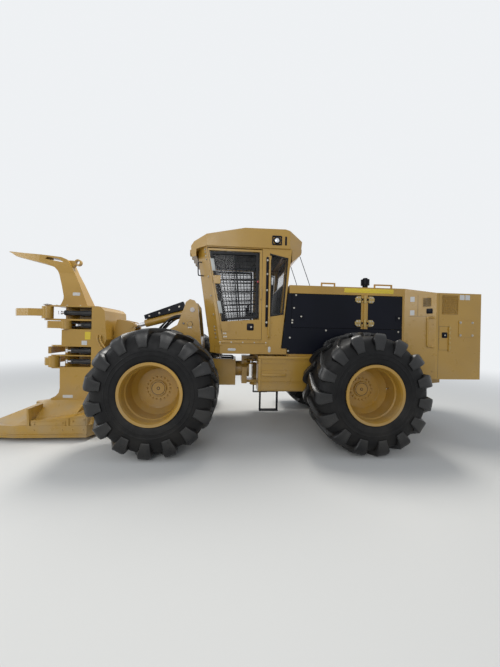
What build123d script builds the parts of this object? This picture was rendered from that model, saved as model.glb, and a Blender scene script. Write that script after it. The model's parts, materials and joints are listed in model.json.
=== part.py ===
from build123d import *
import os
from math import atan2, degrees, hypot, sqrt

# Feller buncher: four wheels, articulated frame, disc-saw felling head on a lifting boom.
# Millimetres. While the pieces are made, X runs forward from the articulation pin, Y to the left and
# Z up from the ground. At the end everything is shifted along X, so that the origin is at the middle
# of the length.

# Clearances
running_gap = 0.3
side_gap = 0.5
door_gap = 6.0
door_top_gap = 19.0
pass_gap = 5.0
weld_reach = 5.0

# Wheels
tyre_radius = 920.0
tread_radius = 862.0
shoulder_radius = 800.0
sidewall_radius = 690.0
dish_radius = 560.0
tyre_width = 776.0
tread_half = 325.0
shoulder_half = 372.0
lugs_per_side = 15
facets_per_pitch = 3
lug_inner_width = 84.0
lug_outer_width = 112.0
lug_sweep = 190.0
lug_inner_y = 14.0
lug_taper_drop = 62.0
lug_root_depth = 90.0
rim_flange_radius = 445.0
rim_flange_thick = 18.0
rim_half = 370.0
rim_seat_radius = 418.0
rim_wall = 14.0
rim_well = 60.0
rim_well_half = 240.0
rim_ramp_half = 310.0
disc_depth = 440.0
disc_face_radius = 300.0
disc_thick = 24.0
disc_cone = 90.0
hub_radius = 116.0
hub_proud = 22.0
spindle_radius = 80.0
spindle_reach = 120.0
bore_depth = 130.0
hub_drum_radius = 190.0
drum_reach = 900.0
wheel_y = 1212.0
axle_front_x = 1600.0
axle_rear_x = -1600.0
axle_tube_radius = 130.0
axle_bulb_radius = 225.0
axle_bulb_half = 120.0
axle_cone = 90.0
axle_collar_radius = 165.0
axle_collar_wide = 48.0
axle_nose_radius = 95.0
axle_nose = 330.0

# Centre joint
hinge_z = 1080.0
fork_low_z = 765.0
fork_thick = 50.0
fork_high_z = 1345.0
fork_radius = 130.0
fork_root_half = 280.0
centre_pin_radius = 45.0
pin_proud = 12.0
yoke_plate = 50.0
yoke_front_x = 300.0
yoke_rear_x = 200.0
yoke_half = 240.0
yoke_neck_half = 150.0
yoke_neck_z = 1185.0
trunnion_radius = 150.0
trunnion_flange_radius = 165.0
trunnion_flange = 40.0
steer_base = (-600.0, 345.0)
steer_eye = (120.0, 180.0)
steer_z = 1235.0
steer_barrel_radius = 42.0
steer_rod_radius = 25.0
steer_neck_radius = 19.0
steer_eye_radius = 46.0
steer_eye_half = 19.5
steer_ear = 25.0
steer_pin_radius = 20.0
steer_stroke = 135.0
steer_drift = 44.0

# Rear frame
side_plate_in = 300.0
side_plate_thick = 40.0
frame_low_z = 760.0
frame_high_z = 1180.0
frame_front_x = -480.0
frame_rear_x = -3640.0
frame_rise = 120.0
frame_rise_x = -2500.0
frame_wall = 40.0
frame_neck_half = 200.0
axle_notch_z = 1060.0
axle_notch_half = 230.0
saddle_half = 170.0
saddle_z = tyre_radius + axle_tube_radius + running_gap
deck_z = 1400.0
deck_thick = 40.0
riser_set_in = 90.0
cross_wall_set_in = 20.0
risers = ((-1300.0, -660.0), (-2500.0, -1900.0), (frame_rear_x + riser_set_in, -2700.0))
cross_walls = (-2100.0, -2900.0, frame_rear_x + cross_wall_set_in)

# Cab
cab_low_z = 1530.0
cab_base_z = 1425.0
cab_high_z = 3270.0
cab_half = 720.0
cab_wall = 60.0
cab_floor = 40.0
cab_ceiling = 50.0
cab_rear_low_x = -360.0
cab_rear_high_x = -525.0
cab_side_low_x = 700.0
cab_side_high_x = 960.0
cab_nose = 200.0
cab_nose_half = 380.0
cab_base_rear = 100.0
cab_base_skin = 25.0
glass_set_in = 22.0
glass_thick = 12.0
window_cut = 100.0

# Windows and the door as (X, Z) outlines of the side view
door_outline = [(650, 1675), (945, 3235), (0, 3235), (-10, 1675)]
door_window = [(684, 1978), (918, 3200), (40, 3200), (36, 2027)]
quarter_window = [(-150, 2080), (-135, 3187), (-465, 3115), (-398, 2120)]
# Front and rear windows as half width, low Z, high Z
front_window = (320.0, 1900.0, 3190.0)
rear_window = (520.0, 2690.0, 3200.0)
door_hinges = (1880.0, 2700.0)
hinge_leaf = 12.0
handle_x = 15.0
handle_z = (2400.0, 2540.0)
handle_proud = 45.0

# Roof
roof_half = 745.0
roof_nose_half = 430.0
roof_tail_half = 480.0
roof_profile = [
    (1163, 3150), (1255, 3150), (1275, 3355), (1212, 3419), (303, 3602), (-405, 3605), (-767, 3496),
    (-734, 3240), (-548, 3060), (-532, 3060), (-532, cab_high_z), (1163, cab_high_z),
]
roof_plan_x = (-767.0, -480.0, 960.0, 1275.0)
lamp_radius = 62.0
front_lamps = (-340.0, -120.0, 120.0, 340.0)
front_lamp_z = 3250.0
rear_lamps = (-300.0, 300.0)
rear_lamp_z = 3370.0

# Operator's place
seat_half = 250.0
seat_low_z = 1900.0
seat_high_z = 2040.0
seat_rear_x = -160.0
seat_front_x = 340.0
back_profile = [(-260, 1960), (-160, 1900), (-110, 2040), (-190, 2760), (-310, 2760)]
armrest_in = 255.0
armrest_out = 330.0
armrest_z = (2120.0, 2190.0)
console_profile = [(560, 1570), (700, 1570), (760, 2020), (640, 2060)]
console_half = 150.0
lever_radius = 22.0
lever_height = 140.0
lever_x = 200.0

# Engine housing and tail box
hood_front_x = -490.0
hood_rear_x = -2590.0
hood_half = 750.0
hood_high_z = 2640.0
hood_skin = 30.0
panel_high_z = 2500.0
panel_split_z = 1905.0
panel_thick = 12.0
hood_wall = 40.0
bulkhead = 40.0
post_front_x = -1785.0
post_rear_x = -1905.0
post_proud = 22.0
post_inset = 40.0
cowl_gap = 10.0
air_half = 560.0
air_low_z = 1560.0
air_high_z = 2400.0
service_hinges = (2000.0, 2420.0)
service_ribs = (2100.0, 2300.0)
service_rib = 15.0
service_leaf = 70.0
knuckle = 13.0
hinge_offset = knuckle + 0.5
knuckle_half = 19.5
tail_side_x = -2985.0
tail_rear_x = -3800.0
tail_half = 1000.0
tail_low_z = 1060.0
tail_high_z = 2540.0
tail_wall = 40.0
grille = (-3380.0, -3080.0, 2175.0, 2500.0)
grille_depth = 14.0
grille_fins = 10
grille_fin_half = 9.0
cover = (-3670.0, -3390.0, 1790.0, 2070.0)
cover_proud = 8.0
strip = (-3245.0, -3205.0, 1540.0, 1960.0)
tail_door_half = 860.0
tail_door_z = (1290.0, 2440.0)
tail_hinges = (1450.0, 2280.0)
tail_slots = 14
tail_slot_pitch = 70.0
tail_slot = 30.0
engine_x = (-2050.0, -1000.0)
engine_half = 300.0
engine_high_z = 2150.0
core_x = (-2480.0, -2340.0)
core_half = 540.0
core_high_z = 2440.0
fan_z = 1960.0
fan_x = (-2600.0, -2520.0)
fan_hub_radius = 95.0
fan_radius = 370.0
fan_blades = 8
fan_shaft_radius = 30.0
rail_y = 420.0
rail_half = 12.0
rail_foot = 24.0
rail_low_z = 2745.0
rail_high_z = 2770.0
hood_rails = ((-1435.0, -1160.0), (-2560.0, -2200.0))
stack_x = -2250.0
# Intake stack as (radius, low Z, high Z)
stack_steps = ((52.0, hood_high_z, 2830.0), (84.0, 2830.0, 2950.0), (46.0, 2950.0, 2978.0))

# Tanks and steps
tank_front_x = 40.0
tank_rear_x = -1070.0
tank_in = 470.0
tank_out = 800.0
tank_low_z = 785.0
tank_high_z = 1399.0
tank_round = 40.0
tank_edge = 12.0
tank_lip = 70.0
tank_post = 40.0
# Raised ribs of the tank as (middle Z, length)
tank_ribs = ((1120.0, 520.0), (1310.0, 420.0))
tank_rib_half = 32.0
hanger_z = (950.0, 1130.0)
hangers = ((-1010.0, -910.0), (-770.0, -670.0))
step_x = (-310.0, -10.0)
step_y = (660.0, 720.0)
step_bar_radius = 13.0
step_low_z = 440.0
step_tread = 20.0
step_lip = 16.0

# Front frame, tower and boom, as points (X, Z) of the side view
tower_in = 250.0
tower_thick = 40.0
front_rear_x = 420.0
front_end_x = 2300.0
front_low_z = 800.0
front_end_low_z = 830.0
front_end_high_z = 1240.0
front_high_z = 1290.0
front_wall = 40.0
tower_profile = [
    (1060, front_high_z), (1085, 1700), (1150, 2290), (1215, 2385), (1300, 2405), (1372, 2350),
    (1410, 2225), (1545, 1860), (1640, 1500), (1760, 1340),
]
tower_web = (1090.0, 1120.0, 1700.0)
tilt_pin = (1250.0, 2205.0)
boom_pin = (1290.0, 1935.0)
wrist = (2500.0, tyre_radius + 130.0)
lift_base = (1180.0, tyre_radius + 230.0)
lift_base_radius = 40.0
lift_eye = (1900.0, tyre_radius + 480.0)
tilt_eye = (2400.0, 1880.0)
pin_radius = 45.0
boom_in = 190.0
boom_thick = 50.0
# Boom plate as circles (X, Z, radius)
boom_spots = [
    (boom_pin[0], boom_pin[1], 110), (lift_eye[0] - 20, lift_eye[1] + 120, 165), (wrist[0], wrist[1], 105),
]
boom_tube = (1600.0, 1740.0, 70.0)
lift_y = 100.0
lift_barrel_radius = 62.0
lift_lug_radius = 68.0
lift_lug_half = 45.0
lift_rod_radius = 38.0
lift_neck_radius = 27.0
lift_neck = 115.0
lift_eye_half = 30.0
lift_eye_radius = 52.0
lift_ear = 25.0
lift_ear_radius = 55.0
lift_bore = 100.0
lift_rod_start = 120.0
lift_gland = 190.0
tilt_barrel_radius = 75.0
tilt_lug_radius = 80.0
tilt_lug_half = 60.0
tilt_rod_radius = 42.0
tilt_neck_radius = 32.0
tilt_neck = 115.0
tilt_eye_half = 45.0
tilt_eye_radius = 62.0
tilt_bore = 110.0
tilt_rod_start = 262.0
tilt_gland = 215.0
cap_proud = 14.0
# Hose guard along the tilt cylinder, as distances from the tilt pin and heights above the axis
guard_start = 165.0
guard_end = 955.0
guard_rear_high = 232.0
guard_front_high = 158.0
guard_half = 65.0
guard_skin = 12.0
guard_feet = (260.0, 865.0)
guard_foot_half = 30.0

# Felling head
head_half = 450.0
head_wall = 25.0
head_rear = [
    (2977, 2205), (2822, 2196), (2761, 2136), (2716, 1626), (2876, 1238), (2877, 1105), (2977, 1105),
]
head_rear_room = [
    (2990, 2180), (2832, 2171), (2788, 2130), (2744, 1626), (2900, 1248), (2903, 1130), (2990, 1130),
]
head_low = [
    (2877, 1105), (3500, 1105), (3494, 760), (3510, 680), (3560, 620), (3640, 580), (3640, 555),
    (2932, 555), (2932, 700), (2877, 1000),
]
head_low_room = [(2905, 1080), (3480, 1080), (3470, 640), (2960, 640), (2960, 720), (2905, 1010)]
# Shelves as (low Z, high Z, X reached at the arm pins)
shelves = [
    (1105, 1129, 3700), (1321, 1339, 3700), (1490, 1514, 3690), (1785, 1797, 3500), (1946, 1976, 3820),
    (2187, 2212, 3820),
]
shelf_rear_x = 2870.0
shelf_corner = 70.0
shelf_nose_half = 240.0
shelf_mouth_half = 340.0
box_side = (2970.0, 3478.0, 1514.0, 1785.0)
liner_thick = 25.0
liner_half = 300.0
liner_rib_y = 120.0
liner_rear_x = 2977.0
pocket_x = 3740.0
pocket_radius = 380.0
bracket_in = 130.0
bracket_thick = 50.0
bracket_profile = [
    (2722, 1700), (2716, 1626), (2876, 1238), (2878, 980), (2700, 930), (wrist[0], wrist[1] - 105),
    (wrist[0] - 100, wrist[1] - 30), (wrist[0] - 100, wrist[1] + 60), (2340, 1830), (2350, 1930),
    (2420, 1960), (2600, 1998), (2664, 1992),
]
bracket_boss_radius = 60.0
bracket_cap_radius = 40.0
bracket_cap = 16.0

# Horn as (X, Z) outlines of the side view, with its half widths at heights
horn_tip_x = 4722.0
horn_profile = [
    (horn_tip_x, 3231), (4690, 3228), (4571, 3148), (4006, 3015), (3861, 2962), (3808, 2900), (3774, 2819),
    (3712, 2600), (3668, 2419), (3668, 2360), (3690, 2290), (3728, 2212), (3210, 2212), (3420, 2696),
    (3600, 3060), (3640, 3115), (3741, 3155), (4020, 3182), (4400, 3212), (4700, 3240),
]
horn_foot_half = 140.0
horn_neck_half = 78.0
horn_neck_z = 2860.0
horn_high_z = 3260.0
horn_hook_half = 95.0
horn_tip_half = 34.0
horn_hook_x = 3640.0
horn_slot = [(3700, 3058), (3790, 3122), (4000, 3150), (4030, 3112)]
horn_foot_plate = (3160.0, 3800.0, 190.0, 20.0)
eye_centre = (3482.0, 3079.0)
eye_radius = 38.0
eye_wall = 24.0
eye_half = 30.0
eye_root = [(3560, 2985), (3600, 2985), (3650, 3112), (3560, 3112)]

# Arms as (name, side of the pin, pin X, low Z, high Z)
arms = [
    ("upper_arm_left", 1, 3735.0, 1977.0, 2186.0),
    ("holding_arm_left", 1, 3415.0, 1798.0, 1945.0),
    ("lower_arm_right", -1, 3612.0, 1340.0, 1489.0),
    ("lower_arm_left", 1, 3612.0, 1130.0, 1320.0),
]
open_arm = "upper_arm_left"
arm_y = 420.0
arm_half = 62.0
arm_pin_radius = 35.0
arm_pin_reach = 20.0
knuckle_radius = 85.0

# Saw and its housing
saw_x = pocket_x
saw_radius = 680.0
saw_low_z = 130.0
saw_thick = 28.0
saw_teeth = 18
saw_tooth = 42.0
saw_tooth_proud = 14.0
saw_clear = 25.0
saw_hub_radius = 120.0
saw_shaft_radius = 60.0
saw_shaft_depth = 24.0
saw_shaft_clear = 2.0
housing_low_z = 60.0
housing_half = 870.0
housing_plan = [
    (2695, 640), (2800, housing_half), (3900, housing_half), (4400, 800), (4640, 640), (4600, 540),
    (4180, 470),
]
cavity_low_z = 100.0
cavity_high_z = 215.0
butt_plate_z = 250.0
butt_plate_x = 4120.0
saw_opening_half = 470.0
crown_z = 555.0
crown_low = [(2740, 820), (3900, 840), (4420, 640)]
crown_high = [(2932, 450), (3500, 450), (3700, 440)]
# Box on each side of the housing, and its ribs, in the side view
side_box = [(2796, 120), (3660, 120), (3660, 330), (3205, 362), (2799, 424)]
side_box_in = 690.0
side_box_out = 858.0
side_rib_x = (3075.0, 3105.0)
side_rib = [(3660, 120), (3700, 120), (3716, 520), (3690, 520)]
side_rib_in = 560.0


def block(x0, x1, y0, y1, z0, z1):
    size = Box(abs(x1 - x0), abs(y1 - y0), abs(z1 - z0))
    return Pos((x0 + x1) / 2, (y0 + y1) / 2, (z0 + z1) / 2) * size


def side_face(face, y0, y1):
    """A face drawn in the side view, made into a plate from y0 to y1."""
    return extrude(Plane.XZ.offset(-y0) * face, amount=-(y1 - y0))


def side_shape(points, y0, y1):
    """A flat plate whose outline is given in the side view, from y0 to y1."""
    return side_face(make_face(Polyline(*points, close=True)), y0, y1)


def plan_shape(points, z0, z1):
    """A flat plate whose outline is given from above, from z0 to z1."""
    face = make_face(Polyline(*points, close=True))
    return extrude(Plane.XY.offset(z0) * face, amount=z1 - z0)


def front_shape(points, x0, x1):
    """A flat plate whose outline is given in the front view, as (Y, Z), from x0 to x1."""
    face = make_face(Polyline(*points, close=True))
    return extrude(Plane.YZ.offset(x0) * face, amount=x1 - x0)


def mirrored_outline(points):
    """An outline from above, given for the left half and closed by its mirror image."""
    return points + [(x, -y) for x, y in reversed(points)]


def rod_y(point, radius, y0, y1):
    """A round bar along Y through a point of the side view."""
    return Pos(point[0], (y0 + y1) / 2, point[1]) * Rot(90, 0, 0) * Cylinder(radius, abs(y1 - y0))


def rod_z(point, radius, z0, z1):
    """A round bar along Z through a point seen from above."""
    return Pos(point[0], point[1], (z0 + z1) / 2) * Cylinder(radius, z1 - z0)


def rod_x(y, z, radius, x0, x1):
    return Pos((x0 + x1) / 2, y, z) * Rot(0, 90, 0) * Cylinder(radius, abs(x1 - x0))


def bar(start, direction, radius, near, far):
    """A round bar along a direction, between two distances from its start."""
    plane = Plane(origin=start, z_dir=direction)
    return extrude(plane.offset(near) * Circle(radius), amount=far - near)


def flip(shape):
    return mirror(shape, about=Plane.XZ)


def both(shape):
    return shape + flip(shape)


# Hinges: two fixed barrels with the pin between them, and the door's barrel around the pin

up = (0.0, 0.0, 1.0)
fixed_near = knuckle_half + side_gap
fixed_far = fixed_near + 25.0


def fixed_knuckles(point, direction=up, pinned=True):
    ends = bar(point, direction, knuckle, -fixed_far, -fixed_near)
    ends += bar(point, direction, knuckle, fixed_near, fixed_far)
    if pinned:
        ends += bar(point, direction, knuckle / 2, -fixed_far, fixed_far)
    return ends


def moving_knuckle(point, direction=up):
    return bar(point, direction, knuckle, -knuckle_half, knuckle_half)


def knuckle_bore(point, direction=up):
    return bar(point, direction, knuckle / 2 + running_gap, -fixed_near, fixed_near)


# Wheels

def rim():
    """A deep dished rim about Y, its outer side at +Y, with the hub drum behind its disc."""
    face_y = rim_half - disc_depth
    back_y = face_y - disc_thick
    well = rim_flange_radius - rim_well
    inner = well - rim_wall
    bead_y = rim_half - rim_flange_thick
    lip = rim_flange_radius - 40
    section = [
        (0, face_y), (disc_face_radius, face_y), (inner, face_y + disc_cone),
        (inner, rim_well_half - 15), (well, rim_well_half + 5), (rim_seat_radius - 26, rim_half - 35),
        (lip, rim_half),
        (rim_flange_radius, rim_half), (rim_flange_radius, bead_y), (rim_seat_radius, bead_y),
        (rim_seat_radius, rim_ramp_half), (well + 15, rim_well_half + 10), (well, rim_well_half - 10),
        (well, 10 - rim_well_half), (well + 15, -10 - rim_well_half), (rim_seat_radius, -rim_ramp_half),
        (rim_seat_radius, -bead_y), (rim_flange_radius, -bead_y), (rim_flange_radius, -rim_half),
        (lip, -rim_half), (rim_seat_radius - 26, 35 - rim_half), (inner, -5 - rim_well_half),
        (inner, back_y + disc_cone - 10), (disc_face_radius, back_y), (0, back_y),
    ]
    turned = make_face(Polyline(*section, close=True))
    body = revolve(turned, Axis.Y)
    cap = Pos(0, face_y + hub_proud / 2, 0) * Rot(90, 0, 0) * Cylinder(hub_radius, hub_proud)
    drum_far = wheel_y - drum_reach
    drum = Pos(0, (back_y - drum_far) / 2, 0) * Rot(90, 0, 0) * Cylinder(hub_drum_radius, drum_far + back_y)
    bore = extrude(Plane.XZ.offset(drum_far) * Circle(spindle_radius + running_gap), amount=-bore_depth)
    return body + cap + drum - bore


def ring_face(y, radius, sides):
    plane = Plane(origin=(0, y, 0), x_dir=(1, 0, 0), z_dir=(0, 1, 0))
    return plane * RegularPolygon(radius, sides)


def tyre():
    """Faceted carcass about Y with two staggered rows of slanted lugs."""
    sides = lugs_per_side * facets_per_pitch
    half = tyre_width / 2
    rings = [
        (-half, sidewall_radius), (-shoulder_half, shoulder_radius), (-tread_half, tread_radius),
        (tread_half, tread_radius), (shoulder_half, shoulder_radius), (half, sidewall_radius),
    ]
    carcass = loft([ring_face(y, radius, sides) for y, radius in rings], ruled=True)
    bead = rim_half - rim_flange_thick - running_gap
    dish_rings = [(bead, rim_flange_radius + 6), (half + 4, dish_radius)]
    dish = loft([ring_face(y, radius, sides) for y, radius in dish_rings], ruled=True)
    bore = Rot(90, 0, 0) * Cylinder(rim_seat_radius + running_gap, tyre_width + 20)
    carcass = carcass - dish - flip(dish) - bore
    taper_y = tread_half + 8
    share = (taper_y - lug_inner_y) / (half - lug_inner_y)
    width = lug_inner_width + (lug_outer_width - lug_inner_width) * share
    outer_reach = lug_sweep * (share - 0.5) + width / 2
    inner_reach = (lug_sweep + lug_inner_width) / 2
    reach = (inner_reach + outer_reach) / 2
    shift = (inner_reach - outer_reach) / 2
    top = sqrt(tyre_radius ** 2 - reach ** 2)
    near_x = shift - lug_sweep / 2
    far_x = shift + lug_sweep / 2
    foot = [
        (near_x - lug_inner_width / 2, lug_inner_y), (near_x + lug_inner_width / 2, lug_inner_y),
        (far_x + lug_outer_width / 2, half - 2), (far_x - lug_outer_width / 2, half - 2),
    ]
    base = shoulder_radius - lug_root_depth
    inner_y = lug_inner_y - weld_reach
    envelope = [
        (inner_y, base), (inner_y, top), (taper_y, top), (half + 2, top - lug_taper_drop), (half + 2, base),
    ]
    lug = plan_shape(foot, base, top) & front_shape(envelope, -tyre_width / 2, tyre_width / 2)
    pitch = 360 / lugs_per_side
    corner = degrees(atan2(reach, top))
    lugs = []
    for index in range(lugs_per_side):
        lugs.append(Rot(0, 180 - corner + index * pitch, 0) * lug)
        lugs.append(Rot(0, 180 - corner + (index + 0.5) * pitch, 0) * flip(lug))
    return carcass.fuse(*lugs)


def axle(x, nose_way):
    """Axle housing with a round centre and spindles that carry the hub drums."""
    centre = (x, tyre_radius)
    end = drum_reach - 12
    body = rod_y(centre, axle_tube_radius, -end, end)
    body += rod_y(centre, spindle_radius, -drum_reach - spindle_reach, drum_reach + spindle_reach)
    body += rod_y(centre, axle_bulb_radius, -axle_bulb_half, axle_bulb_half)
    for sign in (1, -1):
        cone = Cone(axle_bulb_radius, axle_tube_radius, axle_cone)
        body += Pos(x, sign * (axle_bulb_half + axle_cone / 2), tyre_radius) * Rot(-90 * sign, 0, 0) * cone
    body += both(rod_y(centre, axle_collar_radius, end - axle_collar_wide, end))
    return body + rod_x(0, tyre_radius, axle_nose_radius, x, x + nose_way * axle_nose)


# Centre joint

ear_levels = ((steer_z - 45, steer_z - 20), (steer_z + 20, steer_z + 45))


def yoke():
    """Centre section: hinge plates and pins at the rear, oscillation bearing at the front."""
    low = fork_low_z + fork_thick + pass_gap
    high = fork_high_z - pass_gap
    shoulder = yoke_neck_z - 50
    outline = [
        (-yoke_half, low), (yoke_half, low), (yoke_half, shoulder), (yoke_neck_half, yoke_neck_z),
        (yoke_neck_half, high), (-yoke_neck_half, high), (-yoke_neck_half, yoke_neck_z),
        (-yoke_half, shoulder),
    ]
    body = front_shape(outline, yoke_rear_x, yoke_front_x)
    body -= rod_x(0, hinge_z, trunnion_radius, yoke_rear_x - 5, yoke_front_x + 5)
    plate_half = fork_radius - 10
    for z0, z1 in ((low, low + yoke_plate), (high - yoke_plate, high)):
        body += rod_z((0, 0), plate_half, z0, z1) + block(0, yoke_rear_x, -plate_half, plate_half, z0, z1)
    body += rod_z((0, 0), centre_pin_radius, fork_low_z - pin_proud, low + yoke_plate)
    body += rod_z((0, 0), centre_pin_radius, high - yoke_plate, fork_high_z + fork_thick + pin_proud)
    for z0, z1 in ear_levels:
        ear = plan_shape([
            (steer_eye[0], steer_eye[1] - steer_eye_radius), (yoke_rear_x, steer_eye[1] - steer_eye_radius),
            (yoke_rear_x + 60, yoke_neck_half - 42), (yoke_rear_x + 60, yoke_neck_half),
            (yoke_rear_x, steer_eye[1]),
            (steer_eye[0], steer_eye[1] + steer_eye_radius),
        ], z0, z1)
        body += both(ear + rod_z(steer_eye, steer_eye_radius, z0, z1))
    return body


def steering_line(side):
    start = (steer_base[0], side * steer_base[1], steer_z)
    direction = (steer_eye[0] - steer_base[0], side * (steer_eye[1] - steer_base[1]), 0)
    return start, direction, hypot(direction[0], direction[1])


def steering_barrel(side):
    start, direction, length = steering_line(side)
    end = length - steer_stroke - steer_eye_radius - steer_drift - pass_gap
    body = rod_z(start[:2], steer_eye_radius, steer_z - steer_eye_half, steer_z + steer_eye_half)
    body += bar(start, direction, steer_neck_radius, 20, 66)
    body += bar(start, direction, steer_barrel_radius, 64, end)
    body -= rod_z(start[:2], steer_pin_radius + running_gap, steer_z - 30, steer_z + 30)
    return body - bar(start, direction, steer_rod_radius + running_gap, 72, end + 5)


def steering_rod(side):
    start, direction, length = steering_line(side)
    eye = (steer_eye[0], side * steer_eye[1])
    neck = length - steer_eye_radius - steer_drift - pass_gap
    body = rod_z(eye, steer_eye_radius - 2, steer_z - steer_eye_half, steer_z + steer_eye_half)
    body += bar(start, direction, steer_neck_radius, neck - weld_reach, length)
    return body + bar(start, direction, steer_rod_radius, 72 + steer_stroke + pass_gap, neck)


# Rear frame

def cab_outline(rear_x, side_x, half=cab_half, nose_half=cab_nose_half):
    nose_x = side_x + cab_nose
    return mirrored_outline([(rear_x, half), (side_x, half), (nose_x, nose_half)])


def rear_frame():
    plate = [
        (frame_front_x, frame_low_z), (frame_front_x, frame_high_z), (frame_rear_x, frame_high_z),
        (frame_rear_x, frame_low_z + frame_rise), (frame_rise_x, frame_low_z),
        (axle_rear_x - axle_notch_half, frame_low_z), (axle_rear_x - axle_notch_half, axle_notch_z),
        (axle_rear_x + axle_notch_half, axle_notch_z), (axle_rear_x + axle_notch_half, frame_low_z),
    ]
    side_out = side_plate_in + side_plate_thick
    wall_x = frame_front_x - frame_wall
    body = both(side_shape(plate, side_plate_in, side_out))
    body += block(wall_x, frame_front_x, -side_plate_in, side_plate_in, frame_low_z, frame_high_z)
    body += block(wall_x, frame_front_x, -frame_neck_half, frame_neck_half, frame_high_z, cab_base_z)
    for x in cross_walls:
        low = frame_low_z + frame_rise + 20
        body += block(x - 20, x + 20, -side_plate_in, side_plate_in, low, frame_high_z)
    for z0 in (fork_low_z, fork_high_z):
        fork = rod_z((0, 0), fork_radius, z0, z0 + fork_thick)
        fork_plan = mirrored_outline([(frame_front_x, fork_root_half), (0, fork_radius)])
        fork += plan_shape(fork_plan, z0, z0 + fork_thick)
        body += fork - rod_z((0, 0), centre_pin_radius + running_gap, z0 - 5, z0 + fork_thick + 5)
    body += block(frame_front_x, frame_front_x + 150, -20, 20, fork_low_z + fork_thick, fork_high_z)
    x0, x1 = axle_rear_x - saddle_half, axle_rear_x + saddle_half
    body += both(block(x0, x1, side_plate_in, side_out, saddle_z, axle_notch_z))
    foot_x = steer_base[0] - steer_eye_radius - pass_gap
    ear_out = steer_base[1] + steer_eye_radius
    anchor = block(foot_x - 28, foot_x, side_plate_in, ear_out, frame_high_z - 15, steer_z + 60)
    for z0, z1 in ear_levels:
        anchor += block(foot_x - 10, steer_base[0], steer_base[1] - steer_eye_radius, ear_out, z0, z1)
        anchor += rod_z(steer_base, steer_eye_radius, z0, z1)
    anchor += rod_z(steer_base, steer_pin_radius, steer_z - 45, steer_z + 45)
    body += both(anchor)
    for x0, x1 in risers:
        body += both(block(x0, x1, side_plate_in, side_out, frame_high_z, deck_z))
    deck_high = deck_z + deck_thick
    deck_half = hood_half - panel_thick
    body += block(hood_rear_x, hood_front_x, -deck_half, deck_half, deck_z, deck_high)
    body += block(hood_front_x, frame_front_x + 20, 60 - hood_half, hood_half - 60, deck_z, deck_high)
    base = plan_shape(cab_outline(cab_rear_low_x - cab_base_rear, cab_side_low_x), cab_base_z, cab_low_z)
    inside = cab_outline(cab_rear_low_x - 20, cab_side_low_x - 70, cab_half - cab_wall, cab_nose_half - 40)
    base -= plan_shape(inside, cab_base_z - 5, cab_low_z - cab_base_skin)
    web = block(cab_rear_low_x - 40, cab_side_low_x + 120, -30, 30, cab_base_z, cab_low_z - cab_base_skin + 5)
    return body + base + web


def belly_tanks():
    """Tanks beside the centre joint, with a pressed panel edge and two raised ribs."""
    panel_y = tank_out - tank_edge
    tank = block(tank_rear_x, tank_front_x, tank_in, panel_y, tank_low_z, tank_high_z)
    tank = fillet(tank.edges().filter_by(Axis.X).sort_by(Axis.Z)[:2], tank_round)
    lip_z = tank_high_z - tank_lip
    tank += block(tank_rear_x, tank_front_x, panel_y, tank_out, lip_z, tank_high_z)
    tank += block(tank_front_x - tank_post, tank_front_x, panel_y, tank_out, tank_low_z + 50, lip_z)
    for z, length in tank_ribs:
        x = tank_front_x - tank_post - 20
        tank += block(x - length, x, panel_y, tank_out, z - tank_rib_half, z + tank_rib_half)
    for x0, x1 in hangers:
        tank += block(x0, x1, side_plate_in + side_plate_thick, tank_in, hanger_z[0], hanger_z[1])
    return both(tank)


def boarding_steps():
    """Fold-free stirrup steps hanging under each tank."""
    step = Part()
    for x in step_x:
        for y in step_y:
            step += rod_z((x, y), step_bar_radius, step_low_z + 10, tank_low_z)
    y0, y1 = step_y[0] - 14, step_y[1] + 14
    step += block(step_x[0] - step_lip, step_x[1] + step_lip, y0, y1, step_low_z, step_low_z + step_tread)
    step += block(step_x[0] - step_lip, step_x[1] + step_lip, y0, y1, tank_low_z - 14, tank_low_z)
    return both(step)


# Cab

def cab_solid(inset):
    faces = []
    for z, rear_x, side_x in (
        (cab_low_z, cab_rear_low_x, cab_side_low_x), (cab_high_z, cab_rear_high_x, cab_side_high_x)
    ):
        face = make_face(Polyline(*cab_outline(rear_x, side_x), close=True))
        if inset:
            face = offset(face, amount=-inset, kind=Kind.INTERSECTION)
        faces.append(Plane.XY.offset(z) * face)
    return loft(faces, ruled=True)


def cab_room():
    """The space inside the cab, with a floor and a roof panel left."""
    faces = []
    for z in (cab_low_z + cab_floor, cab_high_z - cab_ceiling):
        share = (z - cab_low_z) / (cab_high_z - cab_low_z)
        rear_x = cab_rear_low_x + share * (cab_rear_high_x - cab_rear_low_x)
        side_x = cab_side_low_x + share * (cab_side_high_x - cab_side_low_x)
        face = make_face(Polyline(*cab_outline(rear_x, side_x), close=True))
        faces.append(Plane.XY.offset(z) * offset(face, amount=-cab_wall, kind=Kind.INTERSECTION))
    return loft(faces, ruled=True)


def side_windows(y0, y1):
    return flip(side_shape(door_window, y0, y1)) + both(side_shape(quarter_window, y0, y1))


def end_windows():
    half, low, high = front_window
    shapes = block(cab_side_low_x + 40, cab_side_high_x + cab_nose + 50, -half, half, low, high)
    half, low, high = rear_window
    return shapes + block(cab_rear_high_x - 60, cab_rear_low_x - 20, -half, half, low, high)


def door_edge_x(z):
    (low_x, low_z), (high_x, high_z) = door_outline[:2]
    return low_x + (z - low_z) * (high_x - low_x) / (high_z - low_z)


door_lean = (door_outline[1][0] - door_outline[0][0], 0.0, door_outline[1][1] - door_outline[0][1])


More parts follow.
